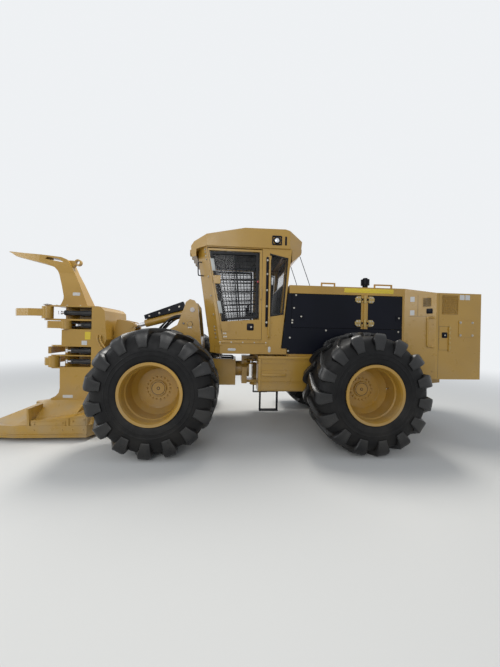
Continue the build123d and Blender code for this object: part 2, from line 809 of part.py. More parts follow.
def cab_shell():
    shell = cab_solid(0) - cab_room()
    shell -= side_windows(cab_half - window_cut, cab_half + window_cut) + end_windows()
    opening = offset(make_face(Polyline(*door_outline, close=True)), amount=door_gap, kind=Kind.INTERSECTION)
    shell -= side_face(opening, cab_half - window_cut, cab_half + window_cut)
    top_z = door_outline[1][1]
    top_x = (door_outline[2][0] - door_gap, door_outline[1][0] + door_gap)
    y0, y1 = cab_half - window_cut, cab_half + window_cut
    shell -= block(top_x[0], top_x[1], y0, y1, top_z, top_z + door_top_gap)
    for z in door_hinges:
        x = door_edge_x(z)
        shell += fixed_knuckles((x + 10, cab_half + hinge_offset, z), door_lean, pinned=False)
        for z0, z1 in ((z - 42, z - 24), (z + 24, z + 42)):
            shell += block(x + 8, x + 22, cab_half, cab_half + hinge_leaf, z0, z1)
    return shell


def cab_glass():
    outer_y = cab_half - glass_set_in
    sides = side_windows(outer_y - glass_thick, outer_y) & cab_solid(glass_set_in)
    ends = (cab_solid(glass_set_in) - cab_solid(glass_set_in + glass_thick)) & end_windows()
    return sides + ends


def cab_door():
    panel = side_shape(door_outline, cab_half - cab_wall, cab_half)
    panel -= side_shape(door_window, cab_half - window_cut, cab_half + window_cut)
    for z in door_hinges:
        x = door_edge_x(z)
        panel += block(x - 120, x + 8, cab_half, cab_half + hinge_leaf, z - 15, z + 15)
        panel += block(x - 130, x - 15, cab_half, cab_half + hinge_leaf, z - 70, z + 70)
        panel += moving_knuckle((x + 10, cab_half + hinge_offset, z), door_lean)
    x0, x1 = handle_x - 13, handle_x + 13
    for z in handle_z:
        panel += block(x0, x1, cab_half, cab_half + handle_proud, z - 20, z + 20)
    grip_y = cab_half + handle_proud
    return panel + block(x0, x1, grip_y - 15, grip_y, handle_z[0], handle_z[1])


def door_glass():
    return side_shape(door_window, cab_half - glass_set_in - glass_thick, cab_half - glass_set_in)


def cab_roof():
    tail_x, rear_x, side_x, nose_x = roof_plan_x
    plan = mirrored_outline([
        (tail_x, roof_tail_half), (rear_x, roof_half), (side_x, roof_half), (nose_x, roof_nose_half),
    ])
    low = min(z for x, z in roof_profile) - 5
    high = max(z for x, z in roof_profile) + 5
    roof = side_shape(roof_profile, -roof_half - 5, roof_half + 5) & plan_shape(plan, low, high)
    for y in front_lamps:
        roof += rod_x(y, front_lamp_z, lamp_radius, nose_x - 40, nose_x + 20)
    for y in rear_lamps:
        roof += rod_x(y, rear_lamp_z, lamp_radius, tail_x - 25, tail_x + 50)
    return roof


def operator_seat():
    seat = block(seat_rear_x, seat_front_x, -seat_half, seat_half, seat_low_z, seat_high_z)
    seat += side_shape(back_profile, 10 - seat_half, seat_half - 10)
    seat += block(seat_rear_x + 100, seat_front_x - 120, -140, 140, cab_low_z + cab_floor, seat_low_z)
    low, high = armrest_z
    seat += both(block(seat_rear_x + 40, seat_front_x - 80, armrest_in, armrest_out, low, high))
    post = block(seat_rear_x + 40, seat_rear_x + 100, seat_half, armrest_out, seat_high_z - 80, low)
    return seat + both(post)


def control_console():
    console = side_shape(console_profile, -console_half, console_half)
    lever_y = (armrest_in + armrest_out) / 2
    return console + both(rod_z((lever_x, lever_y), lever_radius, armrest_z[1], armrest_z[1] + lever_height))


# Engine housing

def engine_enclosure():
    """Bulkheads, hood, posts and lower walls around the engine; the doors close its upper sides."""
    low = deck_z + deck_thick
    wall_out = hood_half - panel_thick
    front_x = hood_front_x - bulkhead
    rear_x = hood_rear_x + bulkhead
    body = block(hood_rear_x, hood_front_x, -hood_half, hood_half, panel_high_z, hood_high_z)
    inside = hood_half - hood_wall
    body -= block(rear_x + 20, front_x, -inside, inside, panel_high_z - 5, hood_high_z - hood_skin)
    body += block(front_x, hood_front_x, -wall_out, wall_out, low, panel_high_z)
    body += block(hood_rear_x, rear_x, -hood_half, hood_half, low, panel_high_z)
    body -= block(hood_rear_x - 5, rear_x + 5, -air_half, air_half, air_low_z, air_high_z)
    door_low = panel_split_z - door_gap
    wall = block(rear_x, front_x, inside, wall_out, low, door_low)
    wall += block(post_rear_x, post_front_x, inside, hood_half, door_low, panel_high_z)
    x0, x1 = post_rear_x + post_inset, post_front_x - post_inset
    wall += block(x0, x1, hood_half, hood_half + post_proud, door_low, panel_high_z)
    for z in service_hinges:
        for x in (post_front_x - 10, post_rear_x + 10):
            wall += fixed_knuckles((x, hood_half + hinge_offset, z))
        for z0, z1 in ((z - fixed_far, z - fixed_near), (z + fixed_near, z + fixed_far)):
            wall += block(post_rear_x + 10, post_front_x - 10, hood_half, hood_half + hinge_leaf, z0, z1)
    return body + both(wall)


def engine_side_panels():
    """Lower side panels, carried up the front edge and forward to the cab's rear."""
    low = deck_z + deck_thick
    lean = (cab_rear_low_x - cab_rear_high_x) / (cab_high_z - cab_low_z)

    def cab_rear(z):
        return cab_rear_low_x - (z - cab_low_z) * lean - cowl_gap

    base_x = cab_rear_low_x - cab_base_rear - cowl_gap
    outline = [
        (hood_rear_x + bulkhead, low), (base_x, low), (base_x, cab_low_z + pass_gap),
        (cab_rear(cab_low_z + pass_gap), cab_low_z + pass_gap), (cab_rear(panel_high_z), panel_high_z),
        (hood_front_x - bulkhead, panel_high_z), (hood_front_x - bulkhead, panel_split_z - door_gap),
        (hood_rear_x + bulkhead, panel_split_z - door_gap),
    ]
    return both(side_shape(outline, hood_half - panel_thick, hood_half))


def service_door(side, x0, x1):
    door = block(x0, x1, hood_half - hood_wall, hood_half, panel_split_z, panel_high_z - door_gap)
    in_front = x1 > post_front_x
    hinge_x = post_front_x - 10 if in_front else post_rear_x + 10
    leaf_x = x0 + service_leaf if in_front else x1 - service_leaf
    for z in service_hinges:
        door += block(hinge_x, leaf_x, hood_half, hood_half + hinge_leaf, z - knuckle_half, z + knuckle_half)
        door += moving_knuckle((hinge_x, hood_half + hinge_offset, z))
        door -= knuckle_bore((hinge_x, hood_half + hinge_offset, z))
    inside = hood_half - hood_wall
    for z in service_ribs:
        door += block(x0 + 30, x1 - 30, inside - service_rib, inside, z - 20, z + 20)
    return door if side > 0 else flip(door)


def engine_block():
    low = deck_z + deck_thick
    body = block(engine_x[0], engine_x[1], -engine_half, engine_half, low, engine_high_z)
    return chamfer(body.edges().filter_by(Axis.X).sort_by(Axis.Z)[2:], 90)


def cooler_core():
    low = deck_z + deck_thick
    core = block(core_x[0], core_x[1], -core_half, core_half, low, core_high_z)
    return core + rod_x(0, fan_z, fan_shaft_radius, fan_x[0] - 20, core_x[0])


def cooler_fan():
    fan = rod_x(0, fan_z, fan_hub_radius, fan_x[0], fan_x[1])
    middle = (fan_x[0] + fan_x[1]) / 2
    blade = block(middle - 15, middle, -60, 60, fan_hub_radius - 20, fan_radius)
    for index in range(fan_blades):
        fan += Pos(0, 0, fan_z) * Rot(index * 360 / fan_blades, 0, 0) * blade
    return fan - rod_x(0, fan_z, fan_shaft_radius + running_gap, fan_x[0] - 50, fan_x[1] + 20)


def tail_plan(inset):
    half = tail_half - inset
    front = hood_half - inset
    return mirrored_outline([(hood_rear_x, front), (tail_side_x, half), (tail_rear_x + inset, half)])


def tail_profile(inset):
    low = tail_low_z + inset
    return [
        (tail_rear_x, low), (hood_rear_x, low), (hood_rear_x, hood_high_z - inset),
        (tail_side_x, tail_high_z - inset), (tail_rear_x, tail_high_z - inset),
    ]


def tail_box():
    def form(inset):
        above = plan_shape(tail_plan(inset), tail_low_z, hood_high_z)
        return side_shape(tail_profile(inset), -tail_half, tail_half) & above

    wall_x = hood_rear_x - tail_wall
    front_wall = block(wall_x, hood_rear_x, -tail_half, tail_half, tail_low_z, hood_high_z)
    body = form(0) - (form(tail_wall) - front_wall)
    door_y = tail_door_half + door_gap
    low, high = tail_door_z[0] - door_gap, tail_door_z[1] + door_gap
    body -= block(tail_rear_x - 5, tail_rear_x + tail_wall + 5, -door_y, door_y, low, high)
    body -= block(wall_x - 15, hood_rear_x + 5, -air_half, air_half, air_low_z, air_high_z)
    x0, x1, z0, z1 = grille
    body -= both(block(x0, x1, tail_half - grille_depth, tail_half + 5, z0, z1))
    for index in range(grille_fins):
        z = z0 + (index + 0.5) * (z1 - z0) / grille_fins
        fin = block(x0, x1, tail_half - grille_depth, tail_half - 3, z - grille_fin_half, z + grille_fin_half)
        body += both(fin)
    x0, x1, z0, z1 = cover
    body += both(block(x0, x1, tail_half, tail_half + cover_proud, z0, z1))
    x0, x1, z0, z1 = strip
    body += both(block(x0, x1, tail_half, tail_half + post_proud - 8, z0, z1))
    hinge_y = -tail_door_half - 8
    for z in tail_hinges:
        body += fixed_knuckles((tail_rear_x - hinge_offset, hinge_y, z))
        for z0, z1 in ((z - fixed_far, z - fixed_near), (z + fixed_near, z + fixed_far)):
            body += block(tail_rear_x - hinge_leaf, tail_rear_x, hinge_y - 72, hinge_y - 2, z0, z1)
    frame_out = side_plate_in + side_plate_thick
    low = tail_low_z - 5
    body -= block(frame_rear_x - 5, hood_rear_x + 5, -frame_out, frame_out, low, tail_low_z + tail_wall + 5)
    return body - block(wall_x - 10, hood_rear_x + 5, -frame_out, frame_out, low, frame_high_z)


def tail_door():
    low, high = tail_door_z
    door = block(tail_rear_x, tail_rear_x + tail_wall, -tail_door_half, tail_door_half, low, high)
    hinge_y = -tail_door_half - 8
    for z in tail_hinges:
        z0, z1 = z - knuckle_half, z + knuckle_half
        door += block(tail_rear_x - hinge_leaf, tail_rear_x, hinge_y, hinge_y + 68, z0, z1)
        door += moving_knuckle((tail_rear_x - hinge_offset, hinge_y, z))
        door -= knuckle_bore((tail_rear_x - hinge_offset, hinge_y, z))
    for index in range(tail_slots):
        z = low + 110 + index * tail_slot_pitch
        x0, x1 = tail_rear_x - 5, tail_rear_x + tail_wall + 5
        door -= both(block(x0, x1, 40, tail_door_half - 100, z, z + tail_slot))
    return door


def hood_fittings():
    """Two pairs of low rails on the hood."""
    rail = Part()
    y0, y1 = rail_y - rail_half, rail_y + rail_half
    for x0, x1 in hood_rails:
        rail += block(x0, x1, y0, y1, rail_low_z, rail_high_z)
        rail += block(x0, x0 + rail_foot, y0, y1, hood_high_z, rail_low_z)
        rail += block(x1 - rail_foot, x1, y0, y1, hood_high_z, rail_low_z)
    return both(rail)


def intake_stack():
    stack = Part()
    for radius, z0, z1 in stack_steps:
        stack += rod_z((stack_x, 0), radius, z0, z1)
    return stack


# Front frame and boom

def front_frame():
    rear_x = front_rear_x + front_wall
    tower_out = tower_in + tower_thick
    plate = [(rear_x, front_low_z), (rear_x, front_high_z)] + tower_profile + [
        (front_end_x, front_end_high_z), (front_end_x, front_end_low_z),
        (axle_front_x + axle_notch_half, front_end_low_z), (axle_front_x + axle_notch_half, axle_notch_z),
        (axle_front_x - axle_notch_half, axle_notch_z), (axle_front_x - axle_notch_half, front_low_z),
    ]
    side = side_shape(plate, tower_in, tower_out)
    side -= rod_y(tilt_pin, pin_radius + running_gap, tower_in - 5, tower_out + 5)
    x0, x1 = axle_front_x - saddle_half, axle_front_x + saddle_half
    side += block(x0, x1, tower_in, tower_out, saddle_z, axle_notch_z)
    body = both(side)
    body += block(front_rear_x, rear_x, -tower_out, tower_out, front_low_z, front_high_z)
    deck_low = front_high_z - front_wall
    body += block(rear_x, tower_profile[0][0] - 60, -tower_in, tower_in, deck_low, front_high_z)
    x0, x1, high = tower_web
    body += block(x0, x1, -tower_in, tower_in, front_high_z - 60, high)
    x0 = front_end_x - front_wall
    body += block(x0, front_end_x, -tower_in, tower_in, front_end_low_z + 20, front_end_low_z + 180)
    collar_x = yoke_rear_x - 10
    body += rod_x(0, hinge_z, trunnion_radius - running_gap, collar_x, front_rear_x)
    body += rod_x(0, hinge_z, trunnion_flange_radius, collar_x - trunnion_flange, collar_x)
    body += rod_y(boom_pin, pin_radius, -tower_out - cap_proud, tower_out + cap_proud)
    return body + rod_y(lift_base, lift_base_radius, -tower_in, tower_in)


def link_plate(spots, y0, y1):
    """A plate whose outline is drawn tight around circles (X, Z, radius)."""
    edges = []
    for x, z, radius in spots:
        circle = Pos(x, z) * Circle(radius)
        edges += circle.edges()
    return side_face(make_hull(edges), y0, y1)


def boom():
    boom_out = boom_in + boom_thick
    plate = link_plate(boom_spots, boom_in, boom_out)
    plate -= rod_y(boom_pin, pin_radius + running_gap, boom_in - 5, boom_out + 5)
    plate -= rod_y(wrist, pin_radius + running_gap, boom_in - 5, boom_out + 5)
    body = both(plate)
    x, z = lift_eye
    body += block(x - 90, x + 90, -boom_in, boom_in, z + 70, z + 130)
    body += rod_y(boom_tube[:2], boom_tube[2], -boom_in, boom_in)
    for y in (-lift_y, lift_y):
        for way in (-1, 1):
            near = y + way * (lift_eye_half + side_gap)
            y0, y1 = sorted((near, near + way * lift_ear))
            body += rod_y(lift_eye, lift_ear_radius, y0, y1)
            body += block(x - lift_ear_radius, x + lift_ear_radius, y0, y1, z, z + 80)
    return body


def cylinder_line(base, eye):
    direction = (eye[0] - base[0], 0, eye[1] - base[1])
    return direction, hypot(direction[0], direction[2])


def lift_barrels():
    direction, length = cylinder_line(lift_base, lift_eye)
    body = Part()
    for y in (-lift_y, lift_y):
        start = (lift_base[0], y, lift_base[1])
        one = rod_y(lift_base, lift_lug_radius, y - lift_lug_half, y + lift_lug_half)
        one += bar(start, direction, lift_barrel_radius, 30, length - lift_gland)
        one -= rod_y(lift_base, lift_base_radius + running_gap, y - 70, y + 70)
        one -= bar(start, direction, lift_rod_radius + running_gap, lift_bore, length)
        body += one
    return body


def lift_rods():
    direction, length = cylinder_line(lift_base, lift_eye)
    body = Part()
    for y in (-lift_y, lift_y):
        start = (lift_base[0], y, lift_base[1])
        body += rod_y(lift_eye, lift_eye_radius, y - lift_eye_half, y + lift_eye_half)
        body += bar(start, direction, lift_neck_radius, length - lift_neck - weld_reach, length)
        body += bar(start, direction, lift_rod_radius, lift_rod_start, length - lift_neck)
    return body


def tilt_barrel():
    direction, length = cylinder_line(tilt_pin, tilt_eye)
    start = (tilt_pin[0], 0, tilt_pin[1])
    body = rod_y(tilt_pin, tilt_lug_radius, -tilt_lug_half, tilt_lug_half)
    body += bar(start, direction, tilt_barrel_radius, 30, length - tilt_gland)
    body -= rod_y(tilt_pin, pin_radius + running_gap, -80, 80)
    return body - bar(start, direction, tilt_rod_radius + running_gap, tilt_bore, length)


def hose_guard():
    """Channel that covers the hoses along the top of the tilt cylinder."""
    direction, length = cylinder_line(tilt_pin, tilt_eye)
    along = Plane(origin=(tilt_pin[0], 0, tilt_pin[1]), x_dir=direction, z_dir=(0, -1, 0))
    foot_high = tilt_barrel_radius + guard_skin
    outline = [
        (guard_start, tilt_barrel_radius + 2), (guard_start, guard_rear_high),
        (guard_end, guard_front_high), (guard_end, tilt_barrel_radius + 2),
    ]
    outer_face = along.offset(-guard_half) * make_face(Polyline(*outline, close=True))
    body = extrude(outer_face, amount=2 * guard_half)
    inside = [
        (guard_start - 5, tilt_barrel_radius), (guard_start - 5, guard_rear_high - guard_skin),
        (guard_end + 5, guard_front_high - guard_skin), (guard_end + 5, tilt_barrel_radius),
    ]
    inner = guard_half - guard_skin
    inner_face = along.offset(-inner) * make_face(Polyline(*inside, close=True))
    body -= extrude(inner_face, amount=2 * inner)
    for x in guard_feet:
        foot = Box(2 * guard_foot_half, guard_skin, 2 * guard_half - 2)
        body += along * (Pos(x, (tilt_barrel_radius + foot_high) / 2, 0) * foot)
    return body


def tilt_rod():
    direction, length = cylinder_line(tilt_pin, tilt_eye)
    start = (tilt_pin[0], 0, tilt_pin[1])
    body = rod_y(tilt_eye, tilt_eye_radius, -tilt_eye_half, tilt_eye_half)
    body += bar(start, direction, tilt_neck_radius, length - tilt_neck - weld_reach, length)
    return body + bar(start, direction, tilt_rod_radius, tilt_rod_start, length - tilt_neck)


def tilt_shaft():
    reach = tower_in + tower_thick + cap_proud
    return rod_y(tilt_pin, pin_radius, -reach, reach)


def wrist_pin():
    reach = boom_in + boom_thick + cap_proud
    return rod_y(wrist, pin_radius, -reach, reach)


# Felling head

def pocket(z0, z1, extra=0.0):
    """The round space in front of the spine that the stems stand in."""
    return rod_z((pocket_x, 0), pocket_radius + extra, z0, z1)


def head_frame():
    inside = head_half - head_wall
    body = side_shape(head_rear, -head_half, head_half) - side_shape(head_rear_room, -inside, inside)
    for z0, z1, reach in shelves:
        plan = mirrored_outline([
            (shelf_rear_x, head_half), (reach - shelf_corner, head_half), (reach, arm_y - 40),
            (reach, shelf_nose_half),
        ])
        mouth = block(pocket_x, pocket_x + 400, -shelf_mouth_half, shelf_mouth_half, z0 - 5, z1 + 5)
        body += plan_shape(plan, z0, z1) - pocket(z0 - 5, z1 + 5) - mouth
    x0, x1, z0, z1 = box_side
    body += both(block(x0, x1, inside, head_half, z0, z1))
    z0, z1 = shelves[0][1], shelves[-1][0]
    liner = pocket(z0, z1, liner_thick) - pocket(z0 - 5, z1 + 5)
    body += liner & block(liner_rear_x, pocket_x, -liner_half, liner_half, z0, z1)
    rib = block(liner_rear_x, pocket_x - pocket_radius + 60, liner_rib_y, liner_rib_y + 20, z0, z1)
    body += both(rib - pocket(z0 - 5, z1 + 5))
    lower = side_shape(head_low, -head_half, head_half) - side_shape(head_low_room, -inside, inside)
    room_low, room_high = head_low[6][1] + head_wall, shelves[0][0] - head_wall
    wall = block(head_low_room[3][0], head_low_room[1][0], -inside, inside, room_low, room_high)
    wall = (pocket(room_low, room_high, liner_thick) - pocket(room_low - 80, room_high + 20)) & wall
    body += lower + wall - pocket(head_low[6][1] - 5, shelves[0][0] + 5)
    for name, side, x, z0, z1 in arms:
        body += rod_z((x, side * arm_y), arm_pin_radius, z0 - arm_pin_reach, z1 + arm_pin_reach)
    bracket_out = bracket_in + bracket_thick
    plate = side_shape(bracket_profile, bracket_in, bracket_out)
    plate -= rod_y(wrist, pin_radius + running_gap, bracket_in - 5, bracket_out + 5)
    plate += rod_y(tilt_eye, bracket_boss_radius, tilt_eye_half + side_gap, bracket_in)
    plate += rod_y(tilt_eye, bracket_cap_radius, bracket_out, bracket_out + bracket_cap)
    return body + both(plate)


def head_horn():
    """Tapered hook above the spine that steadies the stems, with a lifting ring behind it."""
    low = horn_profile[11][1]
    front = [
        (-horn_foot_half, low), (horn_foot_half, low), (horn_neck_half, horn_neck_z),
        (horn_hook_half, horn_neck_z + 140), (horn_hook_half, horn_high_z), (-horn_hook_half, horn_high_z),
        (-horn_hook_half, horn_neck_z + 140), (-horn_neck_half, horn_neck_z),
    ]
    plan = mirrored_outline([
        (horn_profile[12][0] - 20, horn_foot_half + 5), (horn_hook_x, horn_foot_half + 5),
        (horn_tip_x + 5, horn_tip_half),
    ])
    reach = horn_foot_half + 10
    horn = side_shape(horn_profile, -reach, reach)
    horn &= front_shape(front, horn_profile[12][0] - 50, horn_tip_x + 50)
    horn &= plan_shape(plan, low, horn_high_z)
    horn -= side_shape(horn_slot, -reach, reach)
    x0, x1, half, thick = horn_foot_plate
    horn += block(x0, x1, -half, half, low, low + thick)
    ring = rod_y(eye_centre, eye_radius + eye_wall, -eye_half, eye_half)
    root = eye_root + [eye_centre]
    ring += side_shape(root, -eye_half, eye_half)
    return horn + ring - rod_y(eye_centre, eye_radius, -eye_half - 5, eye_half + 5)


def arm(name, side, x, z0, z1):
    """A curved arm of flat plate: knuckle, root and claw, seen from above."""
    middle = (z0 + z1) / 2
    if name == open_arm:
        points = [
            (x - 20, arm_y + 80), (x + 260, arm_y + 90), (x + 500, arm_y + 20), (x + 640, arm_y - 130),
            (x + 600, arm_y - 150), (x + 450, arm_y - 60), (x + 240, arm_y - 20), (x, arm_y - 70),
        ]
    else:
        front = pocket_x + 30 if x > pocket_x - 240 else pocket_x
        points = [
            (x, arm_y + 80), (front - 60, arm_y + 75), (front + 50, arm_y - 60), (front + 90, 60),
            (front + 60, -180), (front + 10, -330), (front - 30, -310), (front - 10, -160), (front + 10, 40),
            (front - 30, arm_y - 130),
            (front - 140, arm_y - 60), (x, arm_y - 60),
        ]
    plate = plan_shape([(px, side * py) for px, py in points], middle - arm_half, middle + arm_half)
    body = rod_z((x, side * arm_y), knuckle_radius, z0, z1) + plate
    return body - rod_z((x, side * arm_y), arm_pin_radius + running_gap, z0 - 5, z1 + 5)


def saw_housing():
    body = plan_shape(mirrored_outline(housing_plan), housing_low_z, butt_plate_z)
    lower_face = Plane.XY.offset(butt_plate_z) * make_face(Polyline(*mirrored_outline(crown_low), close=True))
    upper_face = Plane.XY.offset(crown_z) * make_face(Polyline(*mirrored_outline(crown_high), close=True))
    body += loft([lower_face, upper_face], ruled=True)
    body += both(side_shape(side_box, side_box_in, side_box_out))
    x0, x1 = side_rib_x
    body += both(block(x0, x1, side_box_in, housing_half, housing_low_z + 60, side_box[3][1] + 12))
    body += both(side_shape(side_rib, side_rib_in, housing_half))
    body -= rod_z((saw_x, 0), saw_radius + saw_tooth + saw_clear, cavity_low_z, cavity_high_z)
    high = crown_z + 100
    body -= pocket(butt_plate_z, high)
    body -= block(pocket_x, horn_tip_x, -pocket_radius, pocket_radius, butt_plate_z, high)
    body -= block(butt_plate_x, horn_tip_x, -saw_opening_half, saw_opening_half, housing_low_z - 5, high)
    shaft_high = cavity_high_z + saw_shaft_depth
    return body - rod_z((saw_x, 0), saw_shaft_radius + running_gap, cavity_high_z - 5, shaft_high)


def saw_disc():
    centre = (saw_x, 0)
    high = saw_low_z + saw_thick
    disc = rod_z(centre, saw_radius, saw_low_z, high)
    disc += rod_z(centre, saw_hub_radius, high, cavity_high_z - running_gap)
    disc += rod_z(centre, saw_shaft_radius, high, cavity_high_z + saw_shaft_depth - saw_shaft_clear)
    tooth = plan_shape([
        (saw_radius - 60, -40), (saw_radius - 10, -46), (saw_radius + saw_tooth, -16),
        (saw_radius + saw_tooth - 6, 22),
        (saw_radius - 20, 46), (saw_radius - 60, 40),
    ], saw_low_z - saw_tooth_proud, high + saw_tooth_proud)
    teeth = []
    for index in range(saw_teeth):
        teeth.append(Pos(saw_x, 0, 0) * Rot(0, 0, index * 360 / saw_teeth) * tooth)
    return disc.fuse(*teeth)


def build():
    nodes = {}
    rim_left = rim()
    tyre_one = tyre()
    for end, x, nose_way in (("front", axle_front_x, -1), ("rear", axle_rear_x, 1)):
        for side_name, side in (("left", 1), ("right", -1)):
            place = Pos(x, side * wheel_y, tyre_radius)
            nodes["rim_%s_%s" % (end, side_name)] = place * (rim_left if side > 0 else flip(rim_left))
            nodes["tyre_%s_%s" % (end, side_name)] = place * tyre_one
        nodes["%s_axle" % end] = axle(x, nose_way)
    nodes["rear_frame"] = rear_frame()
    nodes["belly_tanks"] = belly_tanks()
    nodes["boarding_steps"] = boarding_steps()
    nodes["cab_shell"] = cab_shell()
    nodes["cab_roof"] = cab_roof()
    nodes["cab_glass"] = cab_glass()
    nodes["cab_door"] = cab_door()
    nodes["cab_door_glass"] = door_glass()
    nodes["operator_seat"] = operator_seat()
    nodes["control_console"] = control_console()
    nodes["engine_enclosure"] = engine_enclosure()
    nodes["engine_side_panels"] = engine_side_panels()
    nodes["hood_fittings"] = hood_fittings()
    nodes["intake_stack"] = intake_stack()
    nodes["engine_block"] = engine_block()
    nodes["cooler_core"] = cooler_core()
    nodes["cooler_fan"] = cooler_fan()
    nodes["tail_box"] = tail_box()
    nodes["tail_door"] = tail_door()
    door_ends = (hood_rear_x + bulkhead + door_gap, hood_front_x - bulkhead - door_gap)
    for side_name, side in (("left", 1), ("right", -1)):
        nodes["service_door_front_" + side_name] = service_door(side, post_front_x + door_gap, door_ends[1])
        nodes["service_door_rear_" + side_name] = service_door(side, door_ends[0], post_rear_x - door_gap)
        nodes["steering_barrel_" + side_name] = steering_barrel(side)
        nodes["steering_rod_" + side_name] = steering_rod(side)
    nodes["centre_yoke"] = yoke()
    nodes["front_frame"] = front_frame()
    nodes["boom"] = boom()
    nodes["lift_barrels"] = lift_barrels()
    nodes["lift_rods"] = lift_rods()
    nodes["tilt_shaft"] = tilt_shaft()
    nodes["tilt_barrel"] = tilt_barrel()
    nodes["hose_guard"] = hose_guard()
    nodes["tilt_rod"] = tilt_rod()
    nodes["wrist_pin"] = wrist_pin()
    nodes["head_frame"] = head_frame()
    nodes["head_horn"] = head_horn()
    nodes["saw_housing"] = saw_housing()
    nodes["saw_disc"] = saw_disc()
    for name, side, x, z0, z1 in arms:
        nodes[name] = arm(name, side, x, z0, z1)
    return nodes


def write(nodes):
    os.makedirs("parts", exist_ok=True)
    origin_x = (horn_tip_x + tail_rear_x - hinge_offset - knuckle) / 2
    for name, shape in nodes.items():
        placed = Pos(-origin_x, 0, 0) * shape
        solids = placed.solids()
        whole = solids[0] if len(solids) == 1 else Compound(children=list(solids))
        export_step(whole, "parts/%s.step" % name)


write(build())
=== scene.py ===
# %% [markdown]
# # A wheeled feller buncher, dressed for a studio picture
#
# The machine's frames, cab, tanks, cylinders and felling head come from the CAD model. This lesson
# gives them paint, rubber and glass, and adds what a builder fits last: tread, bolts, hoses, guards,
# lamps and handles. Sizes are in metres. Places are counted from the centre pin, where the machine
# bends: x forward, y to the left, z up from the ground.

# %% Load the machine
import json
import math

import bpy
from mathutils import Matrix, Vector


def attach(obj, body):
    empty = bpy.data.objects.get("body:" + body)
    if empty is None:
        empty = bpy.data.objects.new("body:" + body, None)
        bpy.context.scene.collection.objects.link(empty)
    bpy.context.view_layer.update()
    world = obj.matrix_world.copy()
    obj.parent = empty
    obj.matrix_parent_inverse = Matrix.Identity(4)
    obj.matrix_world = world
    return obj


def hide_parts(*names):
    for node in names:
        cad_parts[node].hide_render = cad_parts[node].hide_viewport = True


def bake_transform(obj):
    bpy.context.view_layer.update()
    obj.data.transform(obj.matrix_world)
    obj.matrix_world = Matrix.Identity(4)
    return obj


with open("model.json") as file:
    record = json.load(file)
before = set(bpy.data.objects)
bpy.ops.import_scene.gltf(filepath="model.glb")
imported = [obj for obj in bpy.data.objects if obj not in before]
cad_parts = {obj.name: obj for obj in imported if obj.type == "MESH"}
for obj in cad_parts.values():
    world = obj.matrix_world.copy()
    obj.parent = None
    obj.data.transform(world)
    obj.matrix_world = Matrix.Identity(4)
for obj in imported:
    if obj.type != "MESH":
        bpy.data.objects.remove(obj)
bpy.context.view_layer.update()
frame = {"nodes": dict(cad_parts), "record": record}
nodes = frame["nodes"]
joint_at = {joint["name"]: joint.get("pos_m") for joint in frame["record"]["behaviour"]["joints"]}
pin_x = joint_at["articulation"][0]
wheel_z = joint_at["front_wheel_spin_left"][2]
wheel_y = joint_at["front_wheel_spin_left"][1]
axle_x = 1.6
print("nodes", len(nodes), "centre pin at x", pin_x)


def at(x, y, z):
    """A place counted from the centre pin, in the model's own frame."""
    return Vector((pin_x + x, y, z))


# %% [markdown]
# ## Selecting, finishing, copying
# Blender's operators act on what is selected, and the loaded parts are still selected. So every piece
# starts with an empty selection, and ends by having its place written into its mesh, its finish set
# and its body named, because it must move with that body later.

# %% Small tools for the bench
def clear():
    """Leaves edit mode and deselects everything."""
    if bpy.context.object and bpy.context.object.mode != "OBJECT":
        bpy.ops.object.mode_set(mode="OBJECT")
    bpy.ops.object.select_all(action="DESELECT")


def pick(*pieces):
    """Selects these pieces alone; the last one is active."""
    clear()
    for piece in pieces:
        piece.select_set(True)
    bpy.context.view_layer.objects.active = pieces[-1]


def edit_all():
    """Enters edit mode with everything selected."""
    bpy.ops.object.mode_set(mode="EDIT")
    bpy.ops.mesh.select_all(action="SELECT")


def leave_edit():
    bpy.ops.object.mode_set(mode="OBJECT")


def apply_modifier(piece, kind, **settings):
    pick(piece)
    modifier = piece.modifiers.new(kind.lower(), kind)
    for key, value in settings.items():
        setattr(modifier, key, value)
    bpy.ops.object.modifier_apply(modifier=modifier.name)


def settle(piece):
    """Writes a piece's place and turn into its mesh."""
    pick(piece)
    bpy.ops.object.transform_apply(location=True, rotation=True, scale=True)


def done(piece, name, body, finish, smooth=None):
    """Writes the place into the mesh, names the piece, and gives it a finish and a body."""
    settle(piece)
    piece.name = name
    piece.data.name = name
    piece.data.materials.clear()
    piece.data.materials.append(finish)
    if smooth is not None:
        bpy.ops.object.shade_smooth_by_angle(angle=math.radians(smooth))
    if body:
        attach(piece, body)
    return piece


def joined(pieces, name):
    """Makes one piece of several."""
    pick(*pieces)
    if len(pieces) > 1:
        bpy.ops.object.join()
    piece = bpy.context.object
    piece.name = name
    return piece


def turn_to(direction, start=(0, 0, 1)):
    """The turn that takes +Z, or another start, to a direction."""
    return Vector(start).rotation_difference(Vector(direction)).to_matrix().to_4x4()


def twin(master, move):
    """A copy of a master, moved by a matrix."""
    copy = master.copy()
    copy.data = master.data.copy()
    bpy.context.scene.collection.objects.link(copy)
    copy.data.transform(move)
    return copy


def copies(master, places, name):
    """Copies a master, which stands on the origin along +Z, to (place, direction) pairs, as one piece."""
    made = [twin(master, Matrix.Translation(place) @ turn_to(direction)) for place, direction in places]
    bpy.data.objects.remove(master)
    return joined(made, name)


# %% [markdown]
# ## The camera
# The photograph was taken with a wide lens from a few steps to the machine's left, at about eye height.
# The lens and place below came from matching the wheel circles. The camera leans one degree.

# %% Camera
camera_place = at(0.487, 5.076, 1.786)
camera_yaw = math.radians(3.94)
camera_pitch = math.radians(-0.06)
camera_roll = math.radians(1.12)
focal_in_pixels = 251.5
picture_height = 667

